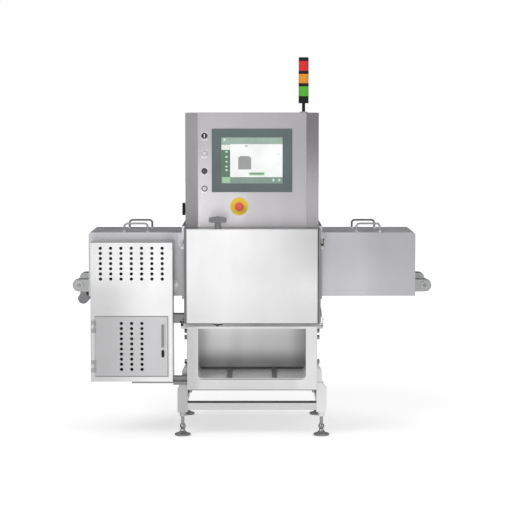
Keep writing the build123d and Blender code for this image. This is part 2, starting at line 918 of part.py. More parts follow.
with BuildPart() as conveyor_frames:
    for low_x, high_x in runs.values():
        for plate_y_low in (-plate_outer, plate_inner):
            with BuildSketch(Plane.XZ.offset(-plate_y_low - side_plate)) as plate_face:
                with Locations(((low_x + high_x) / 2, roller_z)):
                    Rectangle(high_x - low_x, 2 * nose_radius)
                outer_x = high_x if high_x > 0 else low_x
                inner_x = low_x if high_x > 0 else high_x
                with Locations((outer_x, roller_z)):
                    Circle(nose_radius)
                with Locations((inner_x, roller_z)):
                    Rectangle(2 * belt_outer, 2 * nose_radius)
                with Locations((low_x, roller_z), (high_x, roller_z)):
                    Circle(axle_radius + running_fit, mode=Mode.SUBTRACT)
            extrude(amount=side_plate)
        inside = (low_x + tie_margin, high_x - tie_margin)
        tie_gaps = int(span(inside) // tie_pitch) or 1
        for index in range(tie_gaps + 1):
            tie_x = inside[0] + span(inside) * index / tie_gaps
            block(
                around(tie_x, tie_width),
                (-plate_inner, plate_inner),
                (roller_z - tie_low_drop, bed_high - bed_thick),
            )
write(conveyor_frames, "conveyor_frames")

with BuildPart() as conveyor_beds:
    for low_x, high_x in runs.values():
        block(
            (low_x + roller_radius + bed_margin, high_x - roller_radius - bed_margin),
            (-plate_inner, plate_inner),
            (bed_high - bed_thick, bed_high),
        )
write(conveyor_beds, "conveyor_beds")

# Belts: one closed loop for each conveyor
with BuildPart() as conveyor_belts:
    for low_x, high_x in runs.values():
        with BuildSketch(Plane.XZ.offset(-half_belt)) as belt_face:
            with Locations(((low_x + high_x) / 2, roller_z)):
                SlotCenterToCenter(high_x - low_x, 2 * belt_outer)
                SlotCenterToCenter(high_x - low_x, 2 * belt_inner, mode=Mode.SUBTRACT)
        extrude(amount=belt_width)
write(conveyor_belts, "conveyor_belts")

# Rollers with their axles, one at each end of each belt
bearing_depth = 10.0
flange_y = half_tunnel + overrun
flange_depth = 10.0
flange_face = flange_y + flange_depth
gear_engagement = 30.0
case_engagement = 9.0
axle_reach = plate_outer + bearing_depth
short_reach = axle_reach - bearing_depth / 2
roller_places = {
    "main_drive_roller": (transfer_x, flange_face, flange_face + gear_engagement),
    "main_tail_roller": (nose_x, axle_reach, axle_reach),
    "reject_drive_roller": (-nose_x, axle_reach, axle_reach + case_engagement),
    "reject_tail_roller": (reject_tail_x, short_reach, short_reach),
}
roller_crown = 1.0
for roller_name, (place_x, front_reach, rear_reach) in roller_places.items():
    with BuildPart() as roller:
        bar_y(place_x, (-half_belt - roller_end_gap, half_belt + roller_end_gap), roller_z, roller_radius)
        chamfer(roller.faces().filter_by(Axis.Y).edges(), length=roller_crown)
        bar_y(place_x, (-front_reach, rear_reach), roller_z, axle_radius)
    write(roller, roller_name)

# Roller bearings: round housings bolted to the side plates
bearing_radius = 22.0
flange_radius = 36.0
flange_bolt_ring = 27.0
flange_bolt_radius = 3.5
flange_bolt_count = 4
flange_bolt_turn = 45
flange_bolt_head = 2.5
flange_hub_radius = 28.0

with BuildPart() as roller_bearings:
    for side in (-1, 1):
        for place_x in (nose_x, -nose_x, reject_tail_x):
            depth = bearing_depth if abs(place_x) == nose_x else bearing_depth / 2
            limits = sorted((side * plate_outer, side * (plate_outer + depth)))
            bar_y(place_x, limits, roller_z, bearing_radius)
            bar_y(
                place_x,
                (limits[0] - overrun, limits[1] + overrun),
                roller_z,
                axle_radius + running_fit,
                mode=Mode.SUBTRACT,
            )
        hub = sorted((side * plate_outer, side * flange_y))
        flange = sorted((side * flange_y, side * (flange_y + flange_depth)))
        bar_y(transfer_x, hub, roller_z, flange_hub_radius)
        bar_y(transfer_x, flange, roller_z, flange_radius)
        face_y = side * (flange_y + flange_depth)
        heads = sorted((face_y, face_y + side * flange_bolt_head))
        with BuildSketch(Plane.XZ.offset(-heads[1])) as bolt_ring:
            with Locations((transfer_x, roller_z)):
                with PolarLocations(flange_bolt_ring, flange_bolt_count, start_angle=flange_bolt_turn):
                    Circle(flange_bolt_radius)
        extrude(amount=flange_bolt_head)
        bar_y(
            transfer_x,
            (-flange_y - 2 * flange_depth, flange_y + 2 * flange_depth),
            roller_z,
            axle_radius + running_fit,
            mode=Mode.SUBTRACT,
        )
write(roller_bearings, "roller_bearings")

# Gearmotors: one beside the main drive roller at the back, one under the left nose
gear_box = 90.0
gear_box_depth = 64.0
motor_radius = 42.0
motor_height = 150.0
motor_fin = 3.0
motor_fin_count = 7
gear_y = (flange_face + flange_bolt_head, flange_face + flange_bolt_head + gear_box_depth)
low_motor_inset = 21.0
low_motor_drop = 67.7
low_motor_radius = 27.0
low_motor_x = -nose_x + low_motor_inset
low_motor_z = roller_z - low_motor_drop
case_thick = 16.0
case_radius = 30.0
hanger_width = 30.0
case_y = (axle_reach, axle_reach + case_thick)

with BuildPart() as gearmotors:
    block(around(transfer_x, gear_box), gear_y, around(roller_z, gear_box))
    motor_z = (roller_z + gear_box / 2, roller_z + gear_box / 2 + motor_height)
    bar_z(transfer_x, mid(gear_y), motor_z, motor_radius - motor_fin)
    for index in range(motor_fin_count):
        fin_low = motor_z[0] + motor_height * (index + 1) / (motor_fin_count + 1)
        bar_z(transfer_x, mid(gear_y), (fin_low, fin_low + motor_fin), motor_radius)
    bar_y(
        transfer_x,
        (flange_face, flange_face + gear_engagement + swing_gap),
        roller_z,
        axle_radius + running_fit,
        mode=Mode.SUBTRACT,
    )
    bar_y(low_motor_x, (-plate_outer, axle_reach), low_motor_z, low_motor_radius)
    for plate_side in (-1, 1):
        block(
            around(low_motor_x, hanger_width),
            sorted((plate_side * plate_inner, plate_side * plate_outer)),
            (low_motor_z, roller_z - nose_radius),
        )
    with BuildSketch(Plane.XZ.offset(-case_y[1])) as case_face:
        with Locations((-nose_x, roller_z), (low_motor_x, low_motor_z)):
            Circle(case_radius)
        make_hull()
    extrude(amount=case_thick)
    bar_y(
        -nose_x,
        (case_y[0], case_y[0] + case_engagement + swing_gap),
        roller_z,
        axle_radius + running_fit,
        mode=Mode.SUBTRACT,
    )
write(gearmotors, "gearmotors")

# Line detector: a long housing on two posts below the belt
detector_half_width = 38.0
detector_drop = 65.0
detector_height = 80.0
detector_end_room = 6.0
detector_high = belt_height - detector_drop
detector_low = detector_high - detector_height
detector_half_length = plate_outer + detector_end_room
detector_edge = 6.0
detector_window = 14.0
detector_window_depth = 3.0
post_side = 40.0
post_y = 150.0

with BuildPart() as line_detector:
    block(
        (-detector_half_width, detector_half_width),
        (-detector_half_length, detector_half_length),
        (detector_low, detector_high),
    )
    fillet(line_detector.edges().filter_by(Axis.Y), radius=detector_edge)
    block(
        around(0, detector_window),
        around(0, belt_width),
        (detector_high - detector_window_depth, detector_high + overrun),
        mode=Mode.SUBTRACT,
    )
    for place_y in (-post_y, post_y):
        block(around(0, post_side), around(place_y, post_side), (cabinet_low + sheet, detector_low))
write(line_detector, "line_detector")

# Tunnel frames: a collar against each cabinet side with the tunnel floor and its posts
collar_margin = 17.5
collar_high = cabinet_high + sheet
floor_thick = 4.0
support_width = 30.0
support_inset = 90.0
arm_shaft_inset = 140.0
arm_shaft_wall = 10.5
arm_shaft_radius = 5.0
arm_shaft_x = -collar_x - arm_shaft_inset
arm_shaft_y = half_tunnel - arm_shaft_wall

with BuildPart() as tunnel_frames:
    for side in (-1, 1):
        block(
            sided(side, half_width, collar_x),
            (-half_tunnel - collar_margin, half_tunnel + collar_margin),
            (tunnel_low - collar_margin, collar_high),
        )
        block(
            sided(side, collar_x, tunnel_reach),
            (-half_tunnel, half_tunnel),
            (tunnel_low - floor_thick, tunnel_low),
        )
        for place_x in (collar_x + support_inset, tunnel_reach - support_inset):
            for plate_side in (-1, 1):
                block(
                    around(side * place_x, support_width),
                    sorted((plate_side * plate_inner, plate_side * plate_outer)),
                    (tunnel_low, roller_z - nose_radius),
                )
    block(
        (-collar_x - overrun, collar_x + overrun),
        aperture_y,
        aperture_z,
        mode=Mode.SUBTRACT,
    )
    bar_z(
        arm_shaft_x,
        arm_shaft_y,
        (tunnel_low - floor_thick - overrun, tunnel_low + overrun),
        arm_shaft_radius + running_fit,
        mode=Mode.SUBTRACT,
    )
write(tunnel_frames, "tunnel_frames")

# Tunnel hoods: lift-off covers with two grab handles each
hood_corner = 12.0
mouth_margin = 13.0
strip_side_margin = 27.5
mouth_top = 45.0
mouth_high = tunnel_high - mouth_top
handle_centres = 117.0
handle_radius = 5.5
handle_height = 41.0
handle_bend = 16.0
handle_row = 150.0
back_handle_shift = 8.0
rosette_radius = 12.0
rosette_thick = 4.0
hood_handle_x = (collar_x + tunnel_reach) / 2
bin_window_outer = 77.0
bin_window_inner = 120.0
bin_window_top = 75.0
bin_window_x = (-tunnel_reach + bin_window_outer, -collar_x - bin_window_inner)
bin_window_high = tunnel_high - bin_window_top
notch_gap = 4.0
notch_radius = flange_hub_radius + notch_gap
curtain_inset = 25.0
curtain_rod_top = 27.0
curtain_height = tunnel_high - curtain_rod_top
curtain_rod_radius = 6.0
socket_radius = 11.0
socket_depth = 6.0
hood_low = tunnel_low + free_gap


def handles(side):
    """The two bent round handles and their rosettes on top of one hood."""
    for row_y, shift in ((-handle_row, 0), (handle_row, back_handle_shift)):
        middle = side * (hood_handle_x - shift)
        with BuildLine(Plane.XZ.offset(-row_y)) as path:
            Polyline(
                (middle - handle_centres / 2, tunnel_high),
                (middle - handle_centres / 2, tunnel_high + handle_height),
                (middle + handle_centres / 2, tunnel_high + handle_height),
                (middle + handle_centres / 2, tunnel_high),
            )
            fillet(path.vertices().sort_by(Axis.Z)[-2:], radius=handle_bend)
        with BuildSketch(Plane.XY.offset(tunnel_high)) as section:
            with Locations((middle - handle_centres / 2, row_y)):
                Circle(handle_radius)
        sweep(section.sketch, path=path.wire())
        for end_x in (middle - handle_centres / 2, middle + handle_centres / 2):
            bar_z(end_x, row_y, (tunnel_high, tunnel_high + rosette_thick), rosette_radius)


for side, hood_name in ((-1, "left_hood"), (1, "right_hood")):
    inner_face = 0 if side > 0 else -1
    outer_face = -1 if side > 0 else 0
    with BuildPart() as tunnel_hood:
        block(
            sided(side, collar_x + free_gap, tunnel_reach),
            (-half_tunnel, half_tunnel),
            (hood_low, tunnel_high),
        )
        outer_top = tunnel_hood.faces().sort_by(Axis.Z)[-1].edges().sort_by(Axis.X)[outer_face]
        fillet(outer_top, radius=hood_corner)
        offset(
            amount=-sheet,
            openings=[
                tunnel_hood.faces().sort_by(Axis.Z)[0],
                tunnel_hood.faces().sort_by(Axis.X)[inner_face],
            ],
        )
        block(
            sided(side, tunnel_reach - sheet - overrun, tunnel_reach + overrun),
            (-half_tunnel + mouth_margin, half_tunnel - mouth_margin),
            (hood_low - overrun, mouth_high),
            mode=Mode.SUBTRACT,
        )
        curtain_x = side * (tunnel_reach - curtain_inset)
        for wall in (-1, 1):
            socket_y = sorted((wall * (half_tunnel - sheet), wall * (half_tunnel - sheet - socket_depth)))
            bar_y(curtain_x, socket_y, curtain_height, socket_radius)
            bar_y(curtain_x, socket_y, curtain_height, curtain_rod_radius + free_gap, mode=Mode.SUBTRACT)
        if side < 0:
            front_wall = (-half_tunnel - overrun, -half_tunnel + sheet + overrun)
            both_walls = (-half_tunnel - overrun, half_tunnel + overrun)
            block(bin_window_x, front_wall, (hood_low - overrun, bin_window_high), mode=Mode.SUBTRACT)
            bar_y(transfer_x, both_walls, roller_z, notch_radius, mode=Mode.SUBTRACT)
            block(
                around(transfer_x, 2 * notch_radius),
                both_walls,
                (hood_low - overrun, roller_z),
                mode=Mode.SUBTRACT,
            )
        handles(side)
    write(tunnel_hood, hood_name)

# Shielding curtains: strips that hang from a rod inside each tunnel mouth
strip_count = 7
strip_gap = 3.0
strip_thick = 4.0
strip_low = belt_height + 2 * overrun
strips_half_width = half_tunnel - strip_side_margin - strip_gap
strip_pitch = 2 * strips_half_width / strip_count

for side, curtain_name in ((-1, "left_curtain"), (1, "right_curtain")):
    with BuildPart() as curtain:
        curtain_x = side * (tunnel_reach - curtain_inset)
        bar_y(
            curtain_x,
            (-half_tunnel + sheet + free_gap, half_tunnel - sheet - free_gap),
            curtain_height,
            curtain_rod_radius,
        )
        for index in range(strip_count):
            strip_y = -strips_half_width + (index + 1 / 2) * strip_pitch
            block(
                around(curtain_x, strip_thick),
                around(strip_y, strip_pitch - strip_gap),
                (strip_low, curtain_height),
            )
    write(curtain, curtain_name)

# Reject arm: a paddle on an upright shaft, and the actuator under the tunnel floor
arm_tip_inset = 42.0
arm_belt_gap = 14.0
arm_height = 80.0
arm_reach = tunnel_reach - arm_tip_inset + arm_shaft_x
arm_low = belt_height + arm_belt_gap
arm_high = arm_low + arm_height
arm_thick = 6.0
arm_boss_radius = 6.5
actuator_side = 60.0
actuator_height = 71.0
actuator_low = tunnel_low - floor_thick - actuator_height
actuator_foot = 36.0
shaft_low = tunnel_low - floor_thick - actuator_foot

with BuildPart() as reject_arm:
    bar_z(arm_shaft_x, arm_shaft_y, (shaft_low, arm_high), arm_shaft_radius)
    bar_z(arm_shaft_x, arm_shaft_y, (arm_low, arm_high), arm_boss_radius)
    block((arm_shaft_x - arm_reach, arm_shaft_x), around(arm_shaft_y, arm_thick), (arm_low, arm_high))
write(reject_arm, "reject_arm")

with BuildPart() as reject_actuator:
    block(
        around(arm_shaft_x, actuator_side),
        around(arm_shaft_y, actuator_side),
        (actuator_low, tunnel_low - floor_thick),
    )
    bar_z(
        arm_shaft_x,
        arm_shaft_y,
        (shaft_low - swing_gap, tunnel_low),
        arm_shaft_radius + running_fit,
        mode=Mode.SUBTRACT,
    )
write(reject_actuator, "reject_actuator")

# Reject bin: a perforated box in front of the left tunnel
bin_outer_inset = 24.0
bin_inner_gap = 39.0
bin_rise = 43.0
bin_over_belt = 203.0
bin_x = (-tunnel_reach + bin_outer_inset, -collar_x - bin_inner_gap)
bin_z = (bay_low + bin_rise, belt_height + bin_over_belt)
bin_back_clear = 4.0
bin_y = (front_y + swing_gap, -flange_y - flange_depth - flange_bolt_head - bin_back_clear)
bin_corner = 3.0
bin_door_side = 21.5
bin_door_sill = 24.0
bin_door_height = 301.0
bin_door_x = (bin_x[0] + bin_door_side, bin_x[1] - bin_door_side)
bin_door_z = (bin_z[0] + bin_door_sill, bin_z[0] + bin_door_sill + bin_door_height)
bin_door_gap = 1.0
hole_radius = 8.0
hole_pitch_x = 50.4
hole_pitch_z = 25.2
upper_holes_side = 45.0
upper_holes_drop = 102.5
upper_hole_rows = 7
door_hole_columns = 3
door_holes_margin = 33.0
upper_hole_columns = int((span(bin_x) - 2 * upper_holes_side) // hole_pitch_x) + 1
door_hole_rows = int((bin_door_height - 2 * door_holes_margin) // hole_pitch_z) + 1

with BuildPart() as bin_body:
    block(bin_x, bin_y, bin_z)
    fillet(bin_body.edges().filter_by(Axis.Z), radius=bin_corner)
    block(
        (bin_x[0] + thin_sheet, bin_x[1] - thin_sheet),
        (bin_y[0] + thin_sheet, bin_y[1] - thin_sheet),
        (bin_z[0] + thin_sheet, bin_z[1] - thin_sheet),
        mode=Mode.SUBTRACT,
    )
    block(bin_door_x, (bin_y[0] - overrun, bin_y[0] + thin_sheet + overrun), bin_door_z, mode=Mode.SUBTRACT)
    with BuildSketch(Plane.XZ.offset(-bin_y[0])):
        with Locations((mid(bin_x), bin_z[1] - upper_holes_drop)):
            with GridLocations(hole_pitch_x, hole_pitch_z, upper_hole_columns, upper_hole_rows):
                Circle(hole_radius)
    extrude(amount=-2 * thin_sheet, mode=Mode.SUBTRACT)
    neck_y = (bin_y[1], -half_tunnel - swing_gap)
    neck_z = (belt_height - 2 * overrun, bin_window_high)
    block(bin_window_x, neck_y, neck_z)
    block(
        (bin_window_x[0] + thin_sheet, bin_window_x[1] - thin_sheet),
        (bin_y[1] - thin_sheet - overrun, neck_y[1] + overrun),
        (neck_z[0] + thin_sheet, neck_z[1] - thin_sheet),
        mode=Mode.SUBTRACT,
    )
write(bin_body, "bin_body")

# Bin door: a perforated pan with hinge leaves and an upright pull
bin_door_depth = 16.0
pull_inset = 28.0
pull_width = 12.0
pull_length = 111.0
pull_rise = 52.0
pull_x = around(bin_door_x[1] - pull_inset, pull_width)
pull_z = around(mid(bin_door_z) + pull_rise, pull_length)
pull_proud = 12.0
pull_wall = 2.5
bin_hinge_inset = 52.5
bin_hinge_heights = (bin_door_z[1] - bin_hinge_inset, bin_door_z[0] + bin_hinge_inset)
bin_hinge_height = 60.0
bin_knuckle_count = 3
bin_knuckle_pitch = bin_hinge_height / bin_knuckle_count
bin_leaf_width = 20.0
bin_leaf_thick = 2.0
bin_knuckle_radius = 4.5
bin_pin_radius = 2.0
latch_inset = 27.5
latch_drop = 35.5
latch_x = bin_door_x[1] - latch_inset
latch_z = mid(bin_door_z) - latch_drop
latch_shaft_radius = 4.5
tongue_length = 44.0
tongue_width = 16.0
tongue_thick = 3.0
tongue_reach = tongue_length - tongue_width / 2
tongue_y = bin_y[0] + bin_door_depth / 2
bin_hinge_y = bin_y[0] - bin_knuckle_radius
door_front = bin_y[0]
panel_x = (bin_door_x[0] + bin_door_gap, bin_door_x[1] - bin_door_gap)
panel_z = (bin_door_z[0] + bin_door_gap, bin_door_z[1] - bin_door_gap)

with BuildPart() as bin_door:
    block(panel_x, (door_front, door_front + bin_door_depth), panel_z)
    offset(amount=-thin_sheet, openings=bin_door.faces().sort_by(Axis.Y)[-1])
    with BuildSketch(Plane.XZ.offset(-door_front)):
        with Locations((mid(bin_door_x), mid(bin_door_z))):
            with GridLocations(hole_pitch_x, hole_pitch_z, door_hole_columns, door_hole_rows):
                Circle(hole_radius)
    extrude(amount=-2 * thin_sheet, mode=Mode.SUBTRACT)
    bar_y(
        latch_x,
        (door_front - overrun, door_front + 2 * thin_sheet),
        latch_z,
        latch_shaft_radius + running_fit,
        mode=Mode.SUBTRACT,
    )
    block(
        (panel_x[1] - 2 * thin_sheet, panel_x[1] + overrun),
        (tongue_y - swing_gap, tongue_y + tongue_thick + swing_gap),
        (latch_z - tongue_reach, latch_z + tongue_width / 2 + swing_gap),
        mode=Mode.SUBTRACT,
    )
    block(pull_x, (door_front - pull_proud, door_front), pull_z)
    block(
        (pull_x[0] + pull_wall, pull_x[1]),
        (door_front - pull_proud + pull_wall, door_front),
        (pull_z[0] + pull_wall, pull_z[1] - pull_wall),
        mode=Mode.SUBTRACT,
    )
    for height in bin_hinge_heights:
        knuckle = around(height, bin_knuckle_pitch - knuckle_gap)
        bar_z(bin_door_x[0], bin_hinge_y, knuckle, bin_knuckle_radius)
        block(
            (bin_door_x[0], bin_door_x[0] + bin_leaf_width),
            (door_front - bin_leaf_thick, door_front),
            knuckle,
        )
        bar_z(
            bin_door_x[0],
            bin_hinge_y,
            around(height, bin_hinge_height),
            bin_pin_radius + running_fit,
            mode=Mode.SUBTRACT,
        )
write(bin_door, "bin_door")

with BuildPart() as bin_hinges:
    for height in bin_hinge_heights:
        for step in (-1, 1):
            knuckle = around(height + step * bin_knuckle_pitch, bin_knuckle_pitch - knuckle_gap)
            bar_z(bin_door_x[0], bin_hinge_y, knuckle, bin_knuckle_radius)
            block(
                (bin_door_x[0] - bin_leaf_width, bin_door_x[0]),
                (door_front - bin_leaf_thick, door_front),
                knuckle,
            )
        bar_z(bin_door_x[0], bin_hinge_y, around(height, bin_hinge_height), bin_pin_radius)
write(bin_hinges, "bin_hinges")

# Bin latch: a turning grip outside and a tongue inside the bin door
grip_width = 13.0
grip_height = 36.0
grip_proud = 9.0

with BuildPart() as bin_latch:
    with BuildSketch(Plane.XZ.offset(-door_front + free_gap)) as grip_face:
        with Locations((latch_x, latch_z)):
            SlotOverall(grip_height, grip_width, rotation=90)
    extrude(amount=grip_proud)
    bar_y(latch_x, (door_front - free_gap, tongue_y + tongue_thick), latch_z, latch_shaft_radius)
    block(
        around(latch_x, tongue_width),
        (tongue_y, tongue_y + tongue_thick),
        (latch_z - tongue_reach, latch_z + tongue_width / 2),
    )
write(bin_latch, "bin_latch")

# Bin supports: two rails to the machine and a flat bar under the bin
latch_setback = 65.0
support_latch_room = 25.0
support_height = 42.0
upper_support_rise = 7.0
lower_support_rise = 23.0
shelf_thick = 8.0
latch_y = front_y + latch_setback
support_back = bin_y[1]
upper_support_z = (cabinet_low + upper_support_rise, cabinet_low + upper_support_rise + support_height)
lower_support_z = (bay_low + lower_support_rise, bay_low + lower_support_rise + support_height)
lower_support_depth = 40.0
lower_support_back = -leg_y - tube_side / 2 - overrun

with BuildPart() as bin_supports:
    block((bin_x[1], -half_width), (latch_y + support_latch_room, support_back), upper_support_z)
    block(
        (bin_x[1], -half_bay),
        (lower_support_back - lower_support_depth, lower_support_back),
        lower_support_z,
    )
    block((mid(bin_x), -half_bay), (bin_y[0], -leg_y - 2 * gusset_thick), (bin_z[0] - shelf_thick, bin_z[0]))
write(bin_supports, "bin_supports")

# Toggle latches on both sides: base with ears and pin, catch, and lever with bail
latch_half_width = 12.5
ear_gap = 0.5
ear_thick = 3.0
ear_radius = 7.0
toggle_pin_radius = 2.5
toggle_boss_radius = 6.0
lever_offset = 2.0
lever_thick = 4.0
lever_lip = 4.0
bail_radius = 1.5
bail_half_width = 9.0
web_low = 10.0
web_high = 18.0
catch_half_width = 6.0
catch_top_depth = 6.0
catch_low_depth = 14.0
bail_gap = 1.0
pivot_out = 11.0
bail_out = 4.5
upper_pivot_drop = 95.0
lower_pivot_drop = 10.0
long_lever = 42.0
long_catch_rise = 47.0
long_catch_height = 45.0
short_lever = 27.0
short_catch_rise = 30.0
short_catch_height = 5.0
pivots = {
    "upper": (half_width, cabinet_high - upper_pivot_drop),
    "lower": (half_bay, cabinet_low - lower_pivot_drop),
}
# The latches on the left are short, so that they open beside the bin
latch_sizes = {
    "left": (-1, short_lever, short_catch_rise, short_catch_height),
    "right": (1, long_lever, long_catch_rise, long_catch_height),
}
ears_y = (latch_half_width + ear_gap, latch_half_width + ear_gap + ear_thick)
pivot_x = half_width + pivot_out
bail_x = half_width + bail_out

with BuildPart() as latch_bases:
    for side, lever, catch_rise, catch_height in latch_sizes.values():
        for base_x, pivot_z in pivots.values():
            back_x = pivot_x - toggle_boss_radius - ear_gap
            block(
                sided(side, base_x, back_x),
                around(latch_y, 2 * ears_y[1]),
                around(pivot_z, 2 * ear_radius),
            )
            for ear_side in (-1, 1):
                ear_y = sorted((latch_y + ear_side * ears_y[0], latch_y + ear_side * ears_y[1]))
                block(sided(side, back_x, pivot_x), ear_y, around(pivot_z, 2 * ear_radius))
                bar_y(side * pivot_x, ear_y, pivot_z, ear_radius)
            pin_y = (latch_y - ears_y[0], latch_y + ears_y[0])
            bar_y(side * pivot_x, pin_y, pivot_z, toggle_pin_radius)
            catch_low = pivot_z + catch_rise
            catch_high = catch_low + catch_height
            with BuildSketch(Plane.XZ.offset(-latch_y)) as catch_face:
                with BuildLine():
                    Polyline(
                        (side * half_width, catch_low),
                        (side * (half_width + catch_low_depth), catch_low),
                        (side * (half_width + catch_top_depth), catch_high),
                        (side * half_width, catch_high),
                        close=True,
                    )
                make_face()
            extrude(amount=catch_half_width, both=True)
write(latch_bases, "latch_bases")

for side_name, (side, lever, catch_rise, catch_height) in latch_sizes.items():
    for pivot_name, (base_x, pivot_z) in pivots.items():
        lever_high = pivot_z + lever
        bail_z = pivot_z + catch_rise + catch_height + bail_gap + bail_radius
        lever_y = around(latch_y, 2 * latch_half_width)
        with BuildPart() as latch_lever:
            bar_y(side * pivot_x, lever_y, pivot_z, toggle_boss_radius)
            block(
                sided(side, pivot_x + lever_offset, pivot_x + lever_offset + lever_thick),
                lever_y,
                (pivot_z, lever_high),
            )
            block(
                sided(side, pivot_x + lever_offset, pivot_x + lever_offset + lever_thick + lever_lip),
                lever_y,
                (lever_high - lever_thick, lever_high),
            )
            block(
                sided(side, bail_x - bail_radius, pivot_x + lever_offset),
                around(latch_y, 2 * (bail_half_width + bail_radius)),
                (pivot_z + web_low, pivot_z + web_high),
            )
            wire_low = pivot_z + web_high - bail_radius
            with BuildLine(Plane.YZ.offset(side * bail_x)) as wire:
                Polyline(
                    (latch_y - bail_half_width, wire_low),
                    (latch_y - bail_half_width, bail_z),
                    (latch_y + bail_half_width, bail_z),
                    (latch_y + bail_half_width, wire_low),
                )
                fillet(wire.vertices().sort_by(Axis.Z)[-2:], radius=2 * bail_radius)
            with BuildSketch(Plane.XY.offset(wire_low)) as wire_end:
                with Locations((side * bail_x, latch_y - bail_half_width)):
                    Circle(bail_radius)
            sweep(wire_end.sketch, path=wire.wire())
            bar_y(
                side * pivot_x,
                (lever_y[0] - overrun, lever_y[1] + overrun),
                pivot_z,
                toggle_pin_radius + running_fit,
                mode=Mode.SUBTRACT,
            )
        write(latch_lever, f"{side_name}_{pivot_name}_latch")
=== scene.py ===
"""Looks of the conveyor inspection machine: surfaces, pieces the solids lack, studio and camera.

Lengths are metres of the shared frame, or millimetres of it where a comment says so.
"""
import math

import bmesh
import bpy
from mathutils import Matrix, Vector
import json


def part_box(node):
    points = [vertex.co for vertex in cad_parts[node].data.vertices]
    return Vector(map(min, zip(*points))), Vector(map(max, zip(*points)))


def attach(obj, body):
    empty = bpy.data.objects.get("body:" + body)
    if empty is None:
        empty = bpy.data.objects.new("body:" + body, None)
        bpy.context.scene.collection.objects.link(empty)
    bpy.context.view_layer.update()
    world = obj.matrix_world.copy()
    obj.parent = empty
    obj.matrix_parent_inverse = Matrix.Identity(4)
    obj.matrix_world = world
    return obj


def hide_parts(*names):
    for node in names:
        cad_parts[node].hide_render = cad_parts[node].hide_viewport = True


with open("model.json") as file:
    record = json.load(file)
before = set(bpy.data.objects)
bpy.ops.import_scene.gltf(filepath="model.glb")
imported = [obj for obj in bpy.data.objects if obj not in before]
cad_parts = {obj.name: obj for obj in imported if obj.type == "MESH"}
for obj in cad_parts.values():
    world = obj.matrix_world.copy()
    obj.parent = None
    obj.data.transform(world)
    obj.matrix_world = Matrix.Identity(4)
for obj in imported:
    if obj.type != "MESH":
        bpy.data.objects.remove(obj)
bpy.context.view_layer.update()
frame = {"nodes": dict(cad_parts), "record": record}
MM = 0.001

# Node helpers


class Tree:
    """A short way to write a node tree."""

    def __init__(self, tree):
        self.tree = tree

    def node(self, kind, **values):
        made = self.tree.nodes.new(kind)
        for key, value in values.items():
            setattr(made, key, value)
        return made

    def link(self, source, target):
        self.tree.links.new(source, target)

    def math(self, operation, *values):
        """The result of one Math node, from numbers and outputs of other nodes."""
        made = self.node("ShaderNodeMath", operation=operation)
        for socket, value in zip(made.inputs, values):
            if isinstance(value, (int, float)):
                socket.default_value = value
            else:
                self.link(value, socket)
        return made.outputs[0]

    def step(self, value, start, full):
        """Grows smoothly from 0 at one value to 1 at the other, which may be the smaller one."""
        made = self.node("ShaderNodeMapRange", interpolation_type="SMOOTHSTEP")
        made.inputs["From Min"].default_value = start
        made.inputs["From Max"].default_value = full
        self.link(value, made.inputs["Value"])
        return made.outputs["Result"]


